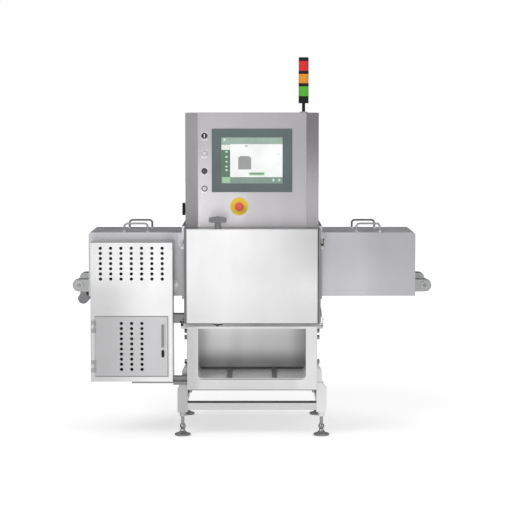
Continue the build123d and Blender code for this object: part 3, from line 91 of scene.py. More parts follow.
class Surface(Tree):
    """A material round one Principled shader, with painted shades and repainted places on it.

    A shade is painted shade, (depth, slopes, box): inside the box the colour loses that share where
    each slope, from its first to its second reading, is complete. A patch is (color, box); some
    patches give a part its own colour, others are painted shadow lines and lighter places. Readings
    are X, Y and Z in millimetres, and UP, which runs from -1 on an underside to 1 on a top.
    """

    def __init__(self, name, shades=(), patches=()):
        self.material = bpy.data.materials.new(name)
        self.material.use_nodes = True
        super().__init__(self.material.node_tree)
        self.shader = self.tree.nodes["Principled BSDF"]
        source = self.node("ShaderNodeTexCoord")
        self.place = source.outputs["Object"]
        self.facing = source.outputs["Normal"]
        self.shades = shades
        self.patches = patches

    def noise(self, scale, detail=4.0, stretch=(1, 1, 1)):
        mapping = self.node("ShaderNodeMapping")
        mapping.inputs["Scale"].default_value = stretch
        self.link(self.place, mapping.inputs["Vector"])
        made = self.node("ShaderNodeTexNoise")
        made.inputs["Scale"].default_value = scale
        made.inputs["Detail"].default_value = detail
        self.link(mapping.outputs["Vector"], made.inputs["Vector"])
        return made.outputs["Fac"]

    def ramp(self, factor, low, high, start=0.35, end=0.65):
        """A colour between two, as the factor goes from start to end."""
        made = self.node("ShaderNodeValToRGB")
        made.color_ramp.elements[0].position = start
        made.color_ramp.elements[0].color = (*low, 1)
        made.color_ramp.elements[1].position = end
        made.color_ramp.elements[1].color = (*high, 1)
        self.link(factor, made.inputs["Fac"])
        return made.outputs["Color"]

    def span(self, factor, low, high, start=0.3, end=0.7):
        """A number between two, as the factor goes from start to end."""
        made = self.node("ShaderNodeMapRange")
        made.inputs["From Min"].default_value = start
        made.inputs["From Max"].default_value = end
        made.inputs["To Min"].default_value = low
        made.inputs["To Max"].default_value = high
        self.link(factor, made.inputs["Value"])
        return made.outputs["Result"]

    def reading(self, axis):
        parts = self.node("ShaderNodeSeparateXYZ")
        if axis == "UP":
            self.link(self.facing, parts.inputs[0])
            return parts.outputs["Z"]
        self.link(self.place, parts.inputs[0])
        return self.math("MULTIPLY", parts.outputs[axis], 1 / MM)

    def inside(self, box):
        """For each axis of the box, 1 where the reading lies within its limits, and 0 elsewhere."""
        shares = []
        for axis, (low, high) in box.items():
            away = self.math("SUBTRACT", self.reading(axis), (low + high) / 2)
            shares.append(self.math("LESS_THAN", self.math("ABSOLUTE", away), (high - low) / 2))
        return shares

    def product(self, factors):
        total = factors[0]
        for factor in factors[1:]:
            total = self.math("MULTIPLY", total, factor)
        return total

    def base(self, color):
        """Links the base colour, with the painted shades and the patches on it, and gives it back."""
        for depth, slopes, box in self.shades:
            steps = [self.step(self.reading(axis), *limits) for axis, limits in slopes.items()]
            lost = self.math("MULTIPLY", self.product(steps + self.inside(box)), depth)
            scaled = self.node("ShaderNodeVectorMath", operation="SCALE")
            self.link(color, scaled.inputs[0])
            self.link(self.math("SUBTRACT", 1.0, lost), scaled.inputs["Scale"])
            color = scaled.outputs["Vector"]
        for tone, box in self.patches:
            mixed = self.node("ShaderNodeMixRGB")
            mixed.inputs["Color2"].default_value = (*tone, 1)
            self.link(self.product(self.inside(box)), mixed.inputs["Fac"])
            self.link(color, mixed.inputs["Color1"])
            color = mixed.outputs["Color"]
        self.link(color, self.shader.inputs["Base Color"])
        return color

    def roughness(self, factor, low, high):
        self.link(self.span(factor, low, high), self.shader.inputs["Roughness"])

    def bump(self, height, strength, depth):
        made = self.node("ShaderNodeBump")
        made.inputs["Strength"].default_value = strength
        made.inputs["Distance"].default_value = depth
        self.link(height, made.inputs["Height"])
        self.link(made.outputs["Normal"], self.shader.inputs["Normal"])

    def set(self, **values):
        for key, value in values.items():
            self.shader.inputs[key.replace("_", " ")].default_value = value


def toned(color, factor):
    """The colour made darker or lighter, up to full white."""
    return tuple(min(1.0, channel * factor) for channel in color)


# Materials

FINE_DEPTH = 0.2 * MM
PEEL_DEPTH = 0.4 * MM
RING_DEPTH = 0.6 * MM


def blasted_steel(name, color, shades=(), patches=(), metallic=0.85):
    """Bead blasted sheet: fine grain, cloudy tone, faint upright wipe marks."""
    s = Surface(name, shades, patches)
    cloud = s.noise(3.2, detail=5.0)
    wipe = s.noise(9.0, detail=3.0, stretch=(1, 1, 0.12))
    grain = s.noise(900.0, detail=2.0)
    s.base(s.ramp(cloud, toned(color, 0.95), toned(color, 1.04)))
    s.roughness(wipe, 0.31, 0.42)
    s.bump(grain, strength=0.12, depth=FINE_DEPTH)
    s.set(Metallic=metallic)
    return s.material


def ground_steel(name, color, rough=0.28, patches=()):
    """Turned or ground bar and hardware, streaked along its height."""
    s = Surface(name, patches=patches)
    streak = s.noise(160.0, stretch=(1, 1, 0.05))
    s.base(s.ramp(streak, toned(color, 0.88), toned(color, 1.06)))
    s.roughness(s.noise(45.0), rough - 0.06, rough + 0.08)
    s.bump(streak, strength=0.08, depth=FINE_DEPTH)
    s.set(Metallic=0.95)
    return s.material


def moulded(name, color, rough=0.4, grain=650.0, glow=0.0, gloss=0.5, patches=()):
    """Moulded plastic with a fine skin texture."""
    s = Surface(name, patches=patches)
    skin = s.base(s.ramp(s.noise(14.0), toned(color, 0.94), toned(color, 1.05)))
    if glow:
        s.link(skin, s.shader.inputs["Emission Color"])
        s.set(Emission_Strength=glow)
    s.roughness(s.noise(60.0), rough - 0.04, rough + 0.05)
    s.bump(s.noise(grain, detail=2.0), strength=0.1, depth=FINE_DEPTH)
    s.set(Specular_IOR_Level=gloss)
    return s.material


def painted(name, color, rough=0.42, patches=()):
    """Painted or cast metal with a slight orange peel."""
    s = Surface(name, patches=patches)
    s.base(s.ramp(s.noise(8.0), toned(color, 0.92), toned(color, 1.06)))
    s.roughness(s.noise(30.0), rough - 0.05, rough + 0.08)
    s.bump(s.noise(260.0, detail=3.0), strength=0.2, depth=PEEL_DEPTH)
    s.set(Metallic=0.3)
    return s.material


def lamp_lens(name, color):
    """Moulded lens with the fine rings of a signal lamp; it glows a little."""
    s = Surface(name)
    rings = s.node("ShaderNodeTexWave", bands_direction="Z")
    rings.inputs["Scale"].default_value = 95.0
    s.link(s.place, rings.inputs["Vector"])
    ringed = s.base(s.ramp(rings.outputs["Fac"], toned(color, 0.8), toned(color, 1.12),
                           start=0.1, end=0.9))
    s.link(ringed, s.shader.inputs["Emission Color"])
    s.bump(rings.outputs["Fac"], strength=0.35, depth=RING_DEPTH)
    s.set(Roughness=0.35, Specular_IOR_Level=0.2, Emission_Strength=0.22)
    return s.material


def belt_rubber(name, color):
    """Belt skin: fine weave with pale scuffs along the run."""
    s = Surface(name)
    weave = s.node("ShaderNodeTexChecker")
    weave.inputs["Scale"].default_value = 700.0
    s.link(s.place, weave.inputs["Vector"])
    scuff = s.noise(6.0, detail=5.0, stretch=(0.3, 3, 1))
    s.base(s.ramp(scuff, toned(color, 0.9), toned(color, 1.08)))
    s.bump(weave.outputs["Fac"], strength=0.2, depth=FINE_DEPTH)
    s.set(Roughness=0.62)
    return s.material


BLACK = (0.012, 0.012, 0.013)
# Painted shadow: the dark of narrow gaps, creases and edges in shade
SHADOW_LINE = (0.07, 0.07, 0.072)
# Painted shade on the ribs of the bay's floor
RIB_SHADE = (0.13, 0.13, 0.135)

# One material for each slot of the record
materials = {
    "stainless": blasted_steel("stainless", (0.74, 0.73, 0.75)),
    "polished_steel": ground_steel("polished_steel", (0.34, 0.34, 0.35)),
    "bezel": moulded("bezel", (0.115, 0.152, 0.152), rough=0.36),
    "screen": moulded("screen", (0.84, 0.86, 0.85), rough=0.3, grain=900.0, glow=0.24),
    "black_plastic": moulded("black_plastic", BLACK, rough=0.5, gloss=0.2),
    "white_plastic": moulded("white_plastic", (0.74, 0.75, 0.76), rough=0.34),
    "ring_metal": ground_steel("ring_metal", (0.30, 0.30, 0.31), rough=0.24),
    "yellow_plastic": moulded("yellow_plastic", (0.95, 0.68, 0.055), rough=0.5),
    # The red plastic has a faint painted glow; it is no lamp
    "red_plastic": moulded("red_plastic", (0.76, 0.10, 0.07), rough=0.38, glow=0.1),
    "lamp_red": lamp_lens("lamp_red", (0.66, 0.025, 0.03)),
    "lamp_amber": lamp_lens("lamp_amber", (0.74, 0.28, 0.02)),
    "lamp_green": lamp_lens("lamp_green", (0.09, 0.42, 0.03)),
    "belt": belt_rubber("belt", (0.68, 0.71, 0.70)),
    "curtain_rubber": moulded("curtain_rubber", (0.06, 0.06, 0.065), rough=0.6, grain=400.0),
    "tank_paint": painted("tank_paint", (0.42, 0.44, 0.45)),
    "cast_alloy": painted("cast_alloy", (0.25, 0.25, 0.26), rough=0.45),
    "units": painted("units", (0.16, 0.17, 0.18), rough=0.5),
}


def shaded(depth, within=None, **slopes):
    """One painted shade for a Surface."""
    return depth, slopes, within or {}


def patched(tone, within=None, **box):
    """One patch for a Surface."""
    return tone, {**(within or {}), **box}


# The readings of UP on a top, where tops get painted shade, and places that painted shades and patches
# share, in millimetres
ON_TOP = (0.5, 0.9)
BAY_FRONT = {"Y": (-426, -420)}
BACK_OF_BAY = {"X": (-273, 273), "Y": (-91, -84)}
RIB_OFFSET = 111
RIB_HALF_WIDTH = 13
BAY_RIBS = [{"X": (side * RIB_OFFSET - RIB_HALF_WIDTH, side * RIB_OFFSET + RIB_HALF_WIDTH),
             "Z": (300.4, 309)} for side in (-1, 1)]
COLLAR_OFFSET = 342
COLLAR_HALF_WIDTH = 9
COLLARS = [{"X": (side * COLLAR_OFFSET - COLLAR_HALF_WIDTH, side * COLLAR_OFFSET + COLLAR_HALF_WIDTH),
            "Y": (-241, -200)} for side in (-1, 1)]
HEAD_FRONT = {"X": (-268.5, 268.5)}
RIGHT_OF_LEFT_CHAMFER = {"X": (-268.5, 340)}
LEFT_CHAMFER = (-268, -274)
RIGHT_CHAMFER = (268, 274)
HOOD_FRONT = {"Y": (-224, -219)}
HANDLE_HEIGHTS = (1009.5, 1060)
# The same handles in two tones: the front ones painted lighter, a painted highlight, and the rear ones
# darker, painted shade
HOOD_HANDLES = [
    patched((0.42, 0.42, 0.43), Y=(-230, 0), Z=HANDLE_HEIGHTS),
    patched((0.2, 0.2, 0.205), Y=(0, 230), Z=HANDLE_HEIGHTS),
]
# Painted shade along the folds of the right hood's front
FOLD_SHADE = (0.56, 0.56, 0.58)

# Painted shadow in the gap round the edges of the bin door
GAP_SHADOW = (0.31, 0.31, 0.315)
EDGE_WIDTH = 4
EDGE_MARGIN = 1
bin_door_low, bin_door_high = (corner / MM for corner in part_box("bin_door"))
BIN_DOOR_EDGES = [
    patched(GAP_SHADOW, X=(bin_door_low.x - EDGE_MARGIN, bin_door_low.x + EDGE_WIDTH)),
    patched(GAP_SHADOW, X=(bin_door_high.x - EDGE_WIDTH, bin_door_high.x + EDGE_MARGIN)),
    patched(GAP_SHADOW, Z=(bin_door_low.z - EDGE_MARGIN, bin_door_low.z + EDGE_WIDTH)),
    patched(GAP_SHADOW, Z=(bin_door_high.z - EDGE_WIDTH, bin_door_high.z + EDGE_MARGIN)),
]
# Painted shade in the pull of the bin door
BIN_PULL_SHADE = patched((0.27, 0.27, 0.28), X=(-446, -432), Y=(-437, -425.5), Z=(453, 566))
# Painted shade inside the bin
BIN_INSIDE_SHADE = patched((0.13, 0.13, 0.13), X=(-791.7, -390.3), Y=(-422.7, -245.3), Z=(284.3, 966.7))

# Node by node the sheet metal has its own tone, painted shades and patches, many of them painted shadow
# lines
SHEETS = {
    # Painted shade: the door darker to the top right and towards the bottom, and on its hinge knuckles
    "front_door": {
        "color": (0.84, 0.84, 0.84),
        "shades": [shaded(0.26, X=(-20, 320), Z=(660, 1010)), shaded(0.10, Z=(780, 590))],
        "patches": [patched((0.30, 0.30, 0.305), X=(322.6, 340))],
    },
    # Painted shade: darker to the lower left and on its top, and inside
    "bin_body": {
        "color": (0.86, 0.86, 0.865),
        "shades": [shaded(0.24, X=(-480, -740), Z=(850, 700)), shaded(0.45, UP=ON_TOP)],
        "patches": [BIN_INSIDE_SHADE],
    },
    # Painted shade: darker to the left, in the gaps at its edges and in its pull
    "bin_door": {
        "color": (0.60, 0.60, 0.61),
        "shades": [shaded(0.14, X=(-480, -740))],
        "patches": [*BIN_DOOR_EDGES, BIN_PULL_SHADE],
    },
    "bin_hinges": {"color": (0.42, 0.42, 0.43)},
    # Painted shade: the front frame darker at the sides, the back wall darker towards the bottom and
    # the sides; painted shadow lines where the back wall meets the floor and along the bay's bottom
    # edge
    "bay_shell": {
        "color": (0.82, 0.82, 0.82),
        "shades": [
            shaded(0.17, BAY_FRONT, X=(-240, -290)),
            shaded(0.12, BAY_FRONT, X=(240, 200)),
            shaded(0.20, BACK_OF_BAY, Z=(550, 430)),
            shaded(0.60, BACK_OF_BAY, Z=(430, 325)),
            shaded(0.35, BACK_OF_BAY, X=(170, 262)),
            shaded(0.25, BACK_OF_BAY, X=(-200, -262)),
        ],
        "patches": [
            patched(SHADOW_LINE, BACK_OF_BAY, Z=(297, 311)),
            patched((0.3, 0.3, 0.3), BAY_FRONT, Z=(239, 244)),
        ],
    },
    # Painted shade on the tops and low on the collars
    "tunnel_frames": {
        "color": (0.74, 0.74, 0.75),
        "shades": [shaded(0.6, UP=ON_TOP), *(shaded(0.42, collar, Z=(950, 930)) for collar in COLLARS)],
    },
    # Painted shade on the tops
    "bin_supports": {"color": (0.28, 0.28, 0.285), "shades": [shaded(0.85, UP=ON_TOP)]},
    # A dark strip round the door, partly a seal and partly painted shadow of the gap; the top in front
    # of the head darker, painted shade
    "cabinet_shell": {
        "color": (0.62, 0.62, 0.63),
        "patches": [
            patched((0.2, 0.2, 0.2), Y=(-386, -384.4), Z=(561.5, 1034)),
            patched((0.26, 0.26, 0.26), Y=(-386, -234), Z=(1034, 1036)),
        ],
    },
    # Painted shade: the head darker towards the top and to the lower right, and on its chamfers
    "head_shell": {
        "color": (0.77, 0.75, 0.775),
        "shades": [
            shaded(0.34, RIGHT_OF_LEFT_CHAMFER, Z=(1080, 1560)),
            shaded(0.22, HEAD_FRONT, X=(-230, 150), Z=(1560, 1200)),
            shaded(0.08, HEAD_FRONT, X=(-230, 200)),
            shaded(0.15, X=LEFT_CHAMFER),
            shaded(0.20, X=LEFT_CHAMFER, Z=(1560, 1100)),
            shaded(0.25, X=RIGHT_CHAMFER, Z=(1200, 1560)),
        ],
    },
    "head_rear_cover": {"color": (0.60, 0.58, 0.61)},
    # Painted shade near the cabinet, the handles as above, and a lighter strip beside the collar
    "left_hood": {
        "color": (0.61, 0.605, 0.63),
        "shades": [shaded(0.20, HOOD_FRONT, X=(-470, -400))],
        "patches": [
            *HOOD_HANDLES,
            patched((0.66, 0.66, 0.67), HOOD_FRONT, X=(-368, -350), Z=(938, 1000)),
        ],
    },
    # Painted shade: the front darker to the right and towards the top, the handles as above, and
    # painted shade along the folds
    "right_hood": {
        "color": (0.67, 0.665, 0.695),
        "shades": [shaded(0.13, HOOD_FRONT, X=(500, 680)), shaded(0.12, HOOD_FRONT, Z=(740, 960))],
        "patches": [
            *HOOD_HANDLES,
            patched(FOLD_SHADE, HOOD_FRONT, X=(784.5, 787)),
            patched(FOLD_SHADE, HOOD_FRONT, Z=(712.5, 715)),
        ],
    },
    # A painted shadow line along the top edge, beside the belt
    "conveyor_frames": {"color": (0.47, 0.48, 0.48), "patches": [patched(SHADOW_LINE, Z=(768, 774))]},
    # Painted shade on the tops, and a painted shadow line along the top of the front
    "leg_rails": {
        "color": (0.70, 0.70, 0.70),
        "shades": [shaded(0.85, UP=ON_TOP)],
        "patches": [patched(SHADOW_LINE, Z=(164.5, 171))],
    },
    # Painted shade: the left legs darker
    "legs": {"color": (0.86, 0.86, 0.87), "shades": [shaded(0.38, X=(100, -100))]},
    "door_fittings": {"color": (0.30, 0.30, 0.305)},
    # The floor ribs of the liner carry painted shade
    "bay_liner": {
        "color": (0.85, 0.85, 0.85),
        "patches": [patched(RIB_SHADE, rib) for rib in BAY_RIBS],
        "metallic": 0.5,
    },
}
for node_name, sheet in SHEETS.items():
    materials[node_name] = blasted_steel("steel_" + node_name, **sheet)

# Hardware whose pieces differ in colour, with places in millimetres
PAD_TONE = (0.72, 0.72, 0.72)
UPPER_PAD = patched(PAD_TONE, Z=(985, 1040))
LOWER_PAD = patched(PAD_TONE, Z=(556, 604))
PALE_RING_REACH = 16
second_button = sum(corner.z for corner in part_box("start_button")) / 2 / MM
PALE_RING = patched((0.42, 0.42, 0.43),
                    Z=(second_button - PALE_RING_REACH, second_button + PALE_RING_REACH))
LEGEND = patched((0.66, 0.64, 0.67), Y=(-236.3, -230))
KEY_FACE = patched((0.9, 0.9, 0.9), Y=(-250, -242.2))
TOWER_FOOT = patched((0.42, 0.41, 0.43), Z=(1599, 1606.5))
materials.update({
    "button_bezels": ground_steel("button_rings", (0.055, 0.055, 0.057), rough=0.3,
                                  patches=[PALE_RING, LEGEND]),
    "key_switch": ground_steel("key_barrel", (0.05, 0.05, 0.052), rough=0.3, patches=[KEY_FACE]),
    "stop_button": moulded("stop_grey", (0.075, 0.075, 0.08), rough=0.3),
    "lock_rod": painted("handle_grey", (0.20, 0.20, 0.205), rough=0.4),
    "signal_tower": moulded("tower_black", BLACK, rough=0.5, gloss=0.2, patches=[TOWER_FOOT]),
    "roller_bearings": ground_steel("bearing_steel", (0.50, 0.50, 0.50), rough=0.3),
    "right_upper_latch": painted("upper_latch", BLACK, rough=0.4, patches=[UPPER_PAD]),
    "right_lower_latch": painted("lower_latch", BLACK, rough=0.4, patches=[LOWER_PAD]),
    "left_lower_latch": painted("left_latch", BLACK, rough=0.4),
    "latch_bases": painted("latch_bases", (0.70, 0.70, 0.70), rough=0.4),
})

for part in frame["record"]["subparts"]:
    mesh = frame["nodes"][part["node"]].data
    mesh.materials.clear()
    mesh.materials.append(materials.get(part["node"], materials[part["material_slot"]]))

# Pieces made here, from loops of points

CORNER_STEPS = 5
TURNED_STEPS = 48
SHARP_ANGLE = math.radians(35)


def rounded(first, second, radius):
    """The points of a rectangle with rounded corners, between its limits each way."""
    low, high = min(first) + radius, max(first) - radius
    bottom, top = min(second) + radius, max(second) - radius
    points = []
    for turn, (u, v) in enumerate(((high, top), (low, top), (low, bottom), (high, bottom))):
        for step in range(CORNER_STEPS + 1):
            angle = math.radians(90 * (turn + step / CORNER_STEPS))
            points.append((u + radius * math.cos(angle), v + radius * math.sin(angle)))
    return points


def facing_front(points, y):
    return [(u, y, v) for u, v in points]


def facing_side(points, x):
    return [(x, u, v) for u, v in points]


def turned(profile, middle, base):
    """Level circles round a vertical axis, from (radius, height) pairs in millimetres."""
    angles = [math.tau * step / TURNED_STEPS for step in range(TURNED_STEPS)]
    return [[(middle.x + radius * MM * math.cos(angle),
              middle.y + radius * MM * math.sin(angle),
              base + height * MM) for angle in angles] for radius, height in profile]


def lofted(name, loops, material, body, closed=False):
    """A piece through loops of equally many points, capped at its ends or closed on itself."""
    mesh = bmesh.new()
    rings = [[mesh.verts.new(point) for point in loop] for loop in loops]
    for ring, following in zip(rings, rings[1:] + (rings[:1] if closed else [])):
        for i in range(len(ring)):
            j = (i + 1) % len(ring)
            mesh.faces.new((ring[i], ring[j], following[j], following[i]))
    if not closed:
        mesh.faces.new(rings[0])
        mesh.faces.new(rings[-1])
    bmesh.ops.recalc_face_normals(mesh, faces=mesh.faces)
    data = bpy.data.meshes.new(name)
    mesh.to_mesh(data)
    mesh.free()
    data.shade_smooth()
    data.set_sharp_from_angle(angle=SHARP_ANGLE)
    data.materials.append(material)
    made = bpy.data.objects.new(name, data)
    bpy.context.scene.collection.objects.link(made)
    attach(made, body)
    return made


# Screen picture: plain coloured areas that belong to no maker
SCREEN_COLORS = {
    "header": (0.34, 0.46, 0.39),
    "column": (0.095, 0.197, 0.12),
    "footer": (0.235, 0.33, 0.28),
    "tab": (0.80, 0.83, 0.81),
    "tile": (0.36, 0.60, 0.37),
    "block": (0.35, 0.35, 0.355),
    "level": (0.20, 0.36, 0.20),
    "glow": (0.66, 0.84, 0.66),
    "mark": (0.66, 0.76, 0.69),
    "dash": (0.22, 0.22, 0.23),
}
screen_materials = {key: moulded("screen_" + key, color, rough=0.3, grain=900.0, glow=0.1)
                    for key, color in SCREEN_COLORS.items()}

# Name and colour of each area, then its left, right, bottom and top as shares of the lit screen
COLUMN_SHARE = 0.142
FOOTER_SHARE = 0.136
HEADER_FOOT = 1 - 0.145
SCREEN_AREAS = [
    ("header", "header", 0.0, 1.0, HEADER_FOOT, 1.0),
    ("column", "column", 0.0, COLUMN_SHARE, FOOTER_SHARE, HEADER_FOOT),
    ("footer", "footer", 0.0, 1.0, 0.0, FOOTER_SHARE),
    ("tab", "tab", 0.0, COLUMN_SHARE, 0.73, 0.845),
    ("tile", "tile", 0.012, COLUMN_SHARE, 0.012, FOOTER_SHARE),
    ("block", "block", 0.275, 0.486, 0.304, 0.57),
    ("block_top", "block", 0.30, 0.46, 0.50, 0.595),
    ("glow", "glow", 0.44, 0.715, 0.165, 0.255),
    ("level", "level", 0.461, 0.695, 0.187, 0.232),
    ("header_mark", "tab", 0.03, 0.065, 0.93, 0.975),
    ("top_dash", "dash", 0.38, 0.43, 0.805, 0.825),
    ("side_dash", "dash", 0.92, 0.955, 0.635, 0.645),
    ("footer_mark_1", "mark", 0.835, 0.87, 0.045, 0.095),
    ("footer_mark_2", "mark", 0.93, 0.965, 0.045, 0.095),
]
MARK_SIDES = (0.065, 0.10)
MARK_BOTTOMS = (0.67, 0.56, 0.455, 0.35, 0.27)
MARK_HEIGHT = 0.035
for number, bottom in enumerate(MARK_BOTTOMS, start=1):
    SCREEN_AREAS.append((f"column_mark_{number}", "mark", *MARK_SIDES, bottom, bottom + MARK_HEIGHT))
LOWER_LAYER = ("header", "column", "footer", "block", "glow")
LOWER_THICKNESS = 0.3 * MM
UPPER_THICKNESS = 0.5 * MM
LIT_MARGIN = 0.3 * MM
PICTURE_CORNER = 0.8 * MM


def along(limits, share):
    return limits[0] + share * (limits[1] - limits[0])


screen_low, screen_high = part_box("hmi_display")
lit_x = (screen_low.x + LIT_MARGIN, screen_high.x - LIT_MARGIN)
lit_z = (screen_low.z + LIT_MARGIN, screen_high.z - LIT_MARGIN)
for name, key, left, right, bottom, top in SCREEN_AREAS:
    area = rounded((along(lit_x, left), along(lit_x, right)),
                   (along(lit_z, bottom), along(lit_z, top)), PICTURE_CORNER)
    thickness = LOWER_THICKNESS if name in LOWER_LAYER else UPPER_THICKNESS
    loops = [facing_front(area, screen_low.y), facing_front(area, screen_low.y - thickness)]
    lofted("screen_" + name, loops, screen_materials[key], "frame")

# Bezel with the photo's nearly square corners
BEZEL_CORNER = 3 * MM
BEZEL_EDGE = 1.5 * MM
bezel_low, bezel_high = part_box("hmi_bezel")
outer = rounded((bezel_low.x, bezel_high.x), (bezel_low.z, bezel_high.z), BEZEL_CORNER)
front = rounded((bezel_low.x + BEZEL_EDGE, bezel_high.x - BEZEL_EDGE),
                (bezel_low.z + BEZEL_EDGE, bezel_high.z - BEZEL_EDGE), BEZEL_CORNER)
opening = rounded((screen_low.x, screen_high.x), (screen_low.z, screen_high.z), PICTURE_CORNER)
bezel_loops = [
    facing_front(outer, bezel_high.y),
    facing_front(outer, bezel_low.y + BEZEL_EDGE),
    facing_front(front, bezel_low.y),
    facing_front(opening, bezel_low.y),
    facing_front(opening, bezel_high.y),
]
bezel = lofted("screen_bezel", bezel_loops, materials["bezel"], "frame", closed=True)
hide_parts("hmi_bezel")

# Lever of the mains switch, as tall as in the photo
LEVER_HALF_WIDTH = 13 * MM
LEVER_HALF_HEIGHT = 32 * MM
LEVER_THICKNESS = 14 * MM
LEVER_TAPER = 3 * MM
LEVER_CORNER = 6 * MM
LEVER_GAP = 0.3 * MM
knob_low, knob_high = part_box("isolator_knob")
knob_middle = (knob_low + knob_high) / 2
lever_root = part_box("isolator_base")[0].x - LEVER_GAP


def lever_loop(inset, x):
    width, height = LEVER_HALF_WIDTH - inset, LEVER_HALF_HEIGHT - inset
    points = rounded((knob_middle.y - width, knob_middle.y + width),
                     (knob_middle.z - height, knob_middle.z + height), LEVER_CORNER - inset)
    return facing_side(points, x)


lever_loops = [
    lever_loop(0, lever_root),
    lever_loop(0, lever_root - LEVER_THICKNESS + LEVER_TAPER),
    lever_loop(LEVER_TAPER, lever_root - LEVER_THICKNESS),
]
lever = lofted("isolator_lever", lever_loops, materials["black_plastic"], "isolator_knob")
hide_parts("isolator_knob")

# Plate that closes the hood's notch under the transfer bearing, in line with the hood's front
PLATE_HALF_WIDTH = 31 * MM
PLATE_SHOULDER = 12.5 * MM
PLATE_THICKNESS = 2.5 * MM
ARC_RADIUS = 29.5 * MM
ARC_STEPS = 16
roller_low, roller_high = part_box("main_drive_roller")
axle = (roller_low + roller_high) / 2
hood_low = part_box("left_hood")[0]
shoulder_z = axle.z - PLATE_SHOULDER
plate_outline = [(axle.x + side * PLATE_HALF_WIDTH, z) for side, z in
                 ((-1, shoulder_z), (-1, hood_low.z), (1, hood_low.z), (1, shoulder_z))]
arc_start = -math.asin(PLATE_SHOULDER / ARC_RADIUS)
for step in range(ARC_STEPS + 1):
    angle = arc_start + (-math.pi - 2 * arc_start) * step / ARC_STEPS
    plate_outline.append((axle.x + ARC_RADIUS * math.cos(angle),
                          axle.z + ARC_RADIUS * math.sin(angle)))
plate_loops = [facing_front(plate_outline, hood_low.y),
               facing_front(plate_outline, hood_low.y + PLATE_THICKNESS)]
lofted("bearing_plate", plate_loops, materials["left_hood"], "frame")

# Dark rings where the lamps of the signal tower meet, as wide as in the photo, in millimetres
RING_OVERLAP = 3.2
RING_PROUD = 0.4
RING_EDGE = 1.0
for lower_name, upper_name in (("green_lamp", "amber_lamp"), ("amber_lamp", "red_lamp")):
    lamp_low, lamp_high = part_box(lower_name)
    ring_base = lamp_high.z - RING_OVERLAP * MM
    ring_height = (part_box(upper_name)[0].z - ring_base) / MM + RING_OVERLAP
    ring_radius = (lamp_high.x - lamp_low.x) / 2 / MM + RING_PROUD
    ring_profile = [
        (ring_radius - RING_EDGE, 0),
        (ring_radius, RING_EDGE),
        (ring_radius, ring_height - RING_EDGE),
        (ring_radius - RING_EDGE, ring_height),
    ]
    ring_loops = turned(ring_profile, (lamp_low + lamp_high) / 2, ring_base)
    lofted(lower_name + "_ring", ring_loops, materials["signal_tower"], "frame")

# Levelling feet: a flat pad, a cone, a ball and a threaded stem, as (radius, height) in millimetres
FOOT_PROFILE = [
    (38, 0), (40, 2), (40, 8), (37, 11), (26, 14), (16, 20), (11, 28), (10, 34),
    (13, 37), (15, 42), (15.5, 46), (15, 50), (13, 55), (9, 59), (8.5, 62), (8.5, 205), (7, 207),
]
foot_steel = ground_steel("foot_steel", (0.36, 0.36, 0.37), rough=0.2)
for foot_name in ("front_left_foot", "front_right_foot", "rear_left_foot", "rear_right_foot"):
    foot_low, foot_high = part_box(foot_name)
    foot_loops = turned(FOOT_PROFILE, (foot_low + foot_high) / 2, foot_low.z)
    foot = lofted(foot_name + "_turned", foot_loops, foot_steel, foot_name)
    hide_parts(foot_name)

# Floor

FLOOR_SIZE = 60
FLOOR_TONES = (0.77, 0.77, 0.77), (0.79, 0.79, 0.79)
# Strength of its own glow near and far, where each of these holds, and its share in reflections
FLOOR_GLOWS = 0.50, 0.85
FLOOR_GLOW_REACH = 1.2, 6.0
FLOOR_IN_METAL = 0.45


def floor_material():
    """Pale floor: it shows white further out, and keeps the shadow of the object."""
    s = Surface("floor")
    s.base(s.ramp(s.noise(1.5), *FLOOR_TONES))
    s.set(Roughness=0.9, Specular_IOR_Level=0.0)
    away = s.node("ShaderNodeVectorMath", operation="LENGTH")
    s.link(s.place, away.inputs[0])
    spread = s.span(away.outputs["Value"], *FLOOR_GLOWS, *FLOOR_GLOW_REACH)
    path = s.node("ShaderNodeLightPath")
    seen = s.math("MAXIMUM", path.outputs["Is Camera Ray"], path.outputs["Is Transmission Ray"])
    shown = s.math("MULTIPLY_ADD", path.outputs["Is Glossy Ray"], FLOOR_IN_METAL, seen)
    glow = s.node("ShaderNodeEmission")
    s.link(s.math("MULTIPLY", shown, spread), glow.inputs["Strength"])
    added = s.node("ShaderNodeAddShader")
    s.link(s.shader.outputs[0], added.inputs[0])
    s.link(glow.outputs[0], added.inputs[1])
    s.link(added.outputs[0], s.tree.nodes["Material Output"].inputs["Surface"])
    return s.material


bpy.ops.mesh.primitive_plane_add(size=FLOOR_SIZE)
floor = bpy.context.object
floor.name = "floor"
floor.data.materials.append(floor_material())

# The studio is bright in front, dimmer at the sides and above, and dark low behind the object
FRONT_STRENGTH = 0.76
SIDE_STRENGTH = 0.36
TOP_STRENGTH = 0.34
BACK_STRENGTH = 0.08
# Where each of these begins and is complete, as the Y or Z of a direction
FRONT_STEP = -0.1, -0.95
TOP_STEP = 0.35, 0.95
BACK_STEP = 0.15, 0.90
LOW_STEP = 0.60, 0.10

world = bpy.data.worlds.new("studio")
bpy.context.scene.world = world
world.use_nodes = True
sky = Tree(world.node_tree)
background = sky.tree.nodes["Background"]
background.inputs["Color"].default_value = (1, 1, 1, 1)
direction = sky.node("ShaderNodeSeparateXYZ")
sky.link(sky.node("ShaderNodeTexCoord").outputs["Generated"], direction.inputs[0])
in_front = sky.step(direction.outputs["Y"], *FRONT_STEP)
overhead = sky.step(direction.outputs["Z"], *TOP_STEP)
low_behind = sky.math("MULTIPLY", sky.step(direction.outputs["Y"], *BACK_STEP),
                      sky.step(direction.outputs["Z"], *LOW_STEP))
strength = sky.math("MULTIPLY_ADD", in_front, FRONT_STRENGTH - SIDE_STRENGTH, SIDE_STRENGTH)
strength = sky.math("MULTIPLY_ADD", low_behind, BACK_STRENGTH - SIDE_STRENGTH, strength)
strength = sky.math("MULTIPLY_ADD", overhead, TOP_STRENGTH - SIDE_STRENGTH, strength)
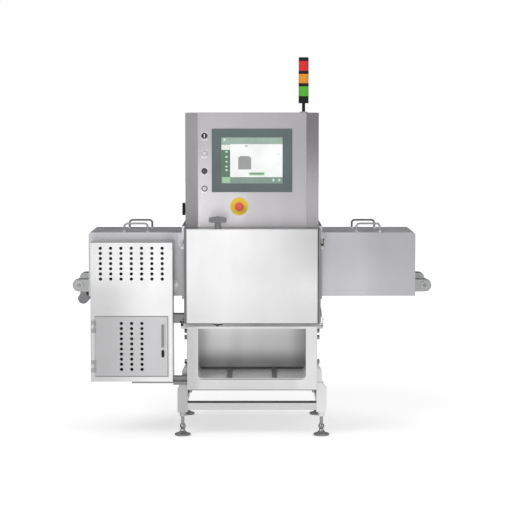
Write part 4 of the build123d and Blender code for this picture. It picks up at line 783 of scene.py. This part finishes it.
ray = sky.node("ShaderNodeLightPath")
seen = sky.math("MAXIMUM", ray.outputs["Is Camera Ray"], ray.outputs["Is Transmission Ray"])
sky.link(sky.math("MAXIMUM", seen, strength), background.inputs["Strength"])

# Soft lamps: name, place, target, size, watts
LAMPS = [
    ("key_lamp", (-3.2, -4.2, 4.2), (0, 0, 0.9), (2.6, 2.6), 110),
    ("low_lamp", (-0.36, -4.4, 0.8), (-0.2, -0.4, 0.9), (0.9, 1.0), 4.2),
    ("side_lamp", (4.6, -2.6, 2.4), (0, 0, 0.8), (2.2, 3.0), 40),
    ("top_lamp", (0, 0.6, 5.0), (0, 0, 0.8), (3.6, 3.0), 50),
]
for name, place, target, size, watts in LAMPS:
    light = bpy.data.lights.new(name, "AREA")
    light.shape = "RECTANGLE"
    light.size, light.size_y = size
    light.energy = watts
    lamp = bpy.data.objects.new(name, light)
    bpy.context.scene.collection.objects.link(lamp)
    lamp.location = place
    lamp.visible_camera = False
    lamp.rotation_mode = "QUATERNION"
    lamp.rotation_quaternion = (Vector(target) - Vector(place)).to_track_quat("-Z", "Y")

# Camera, from the places of known parts in the photograph
CAMERA_HEIGHT = 1.65
CAMERA_DISTANCE = 9.825
FOCAL_PIXELS = 1927
IMAGE_PIXELS = 512
HORIZON_PIXEL = 102.9
MIDDLE_PIXEL = 252
SENSOR = 36

camera_data = bpy.data.cameras.new("camera")
camera_data.sensor_width = SENSOR
camera_data.lens = FOCAL_PIXELS / IMAGE_PIXELS * SENSOR
camera = bpy.data.objects.new("camera", camera_data)
bpy.context.scene.collection.objects.link(camera)
camera.location = (0, -CAMERA_DISTANCE, CAMERA_HEIGHT)
tilt = math.atan((IMAGE_PIXELS / 2 - HORIZON_PIXEL) / FOCAL_PIXELS)
turn = math.atan((IMAGE_PIXELS / 2 - MIDDLE_PIXEL) / FOCAL_PIXELS)
camera.rotation_euler = (math.pi / 2 - tilt, 0, -turn)
bpy.context.scene.camera = camera
bpy.context.scene.view_settings.view_transform = "Standard"
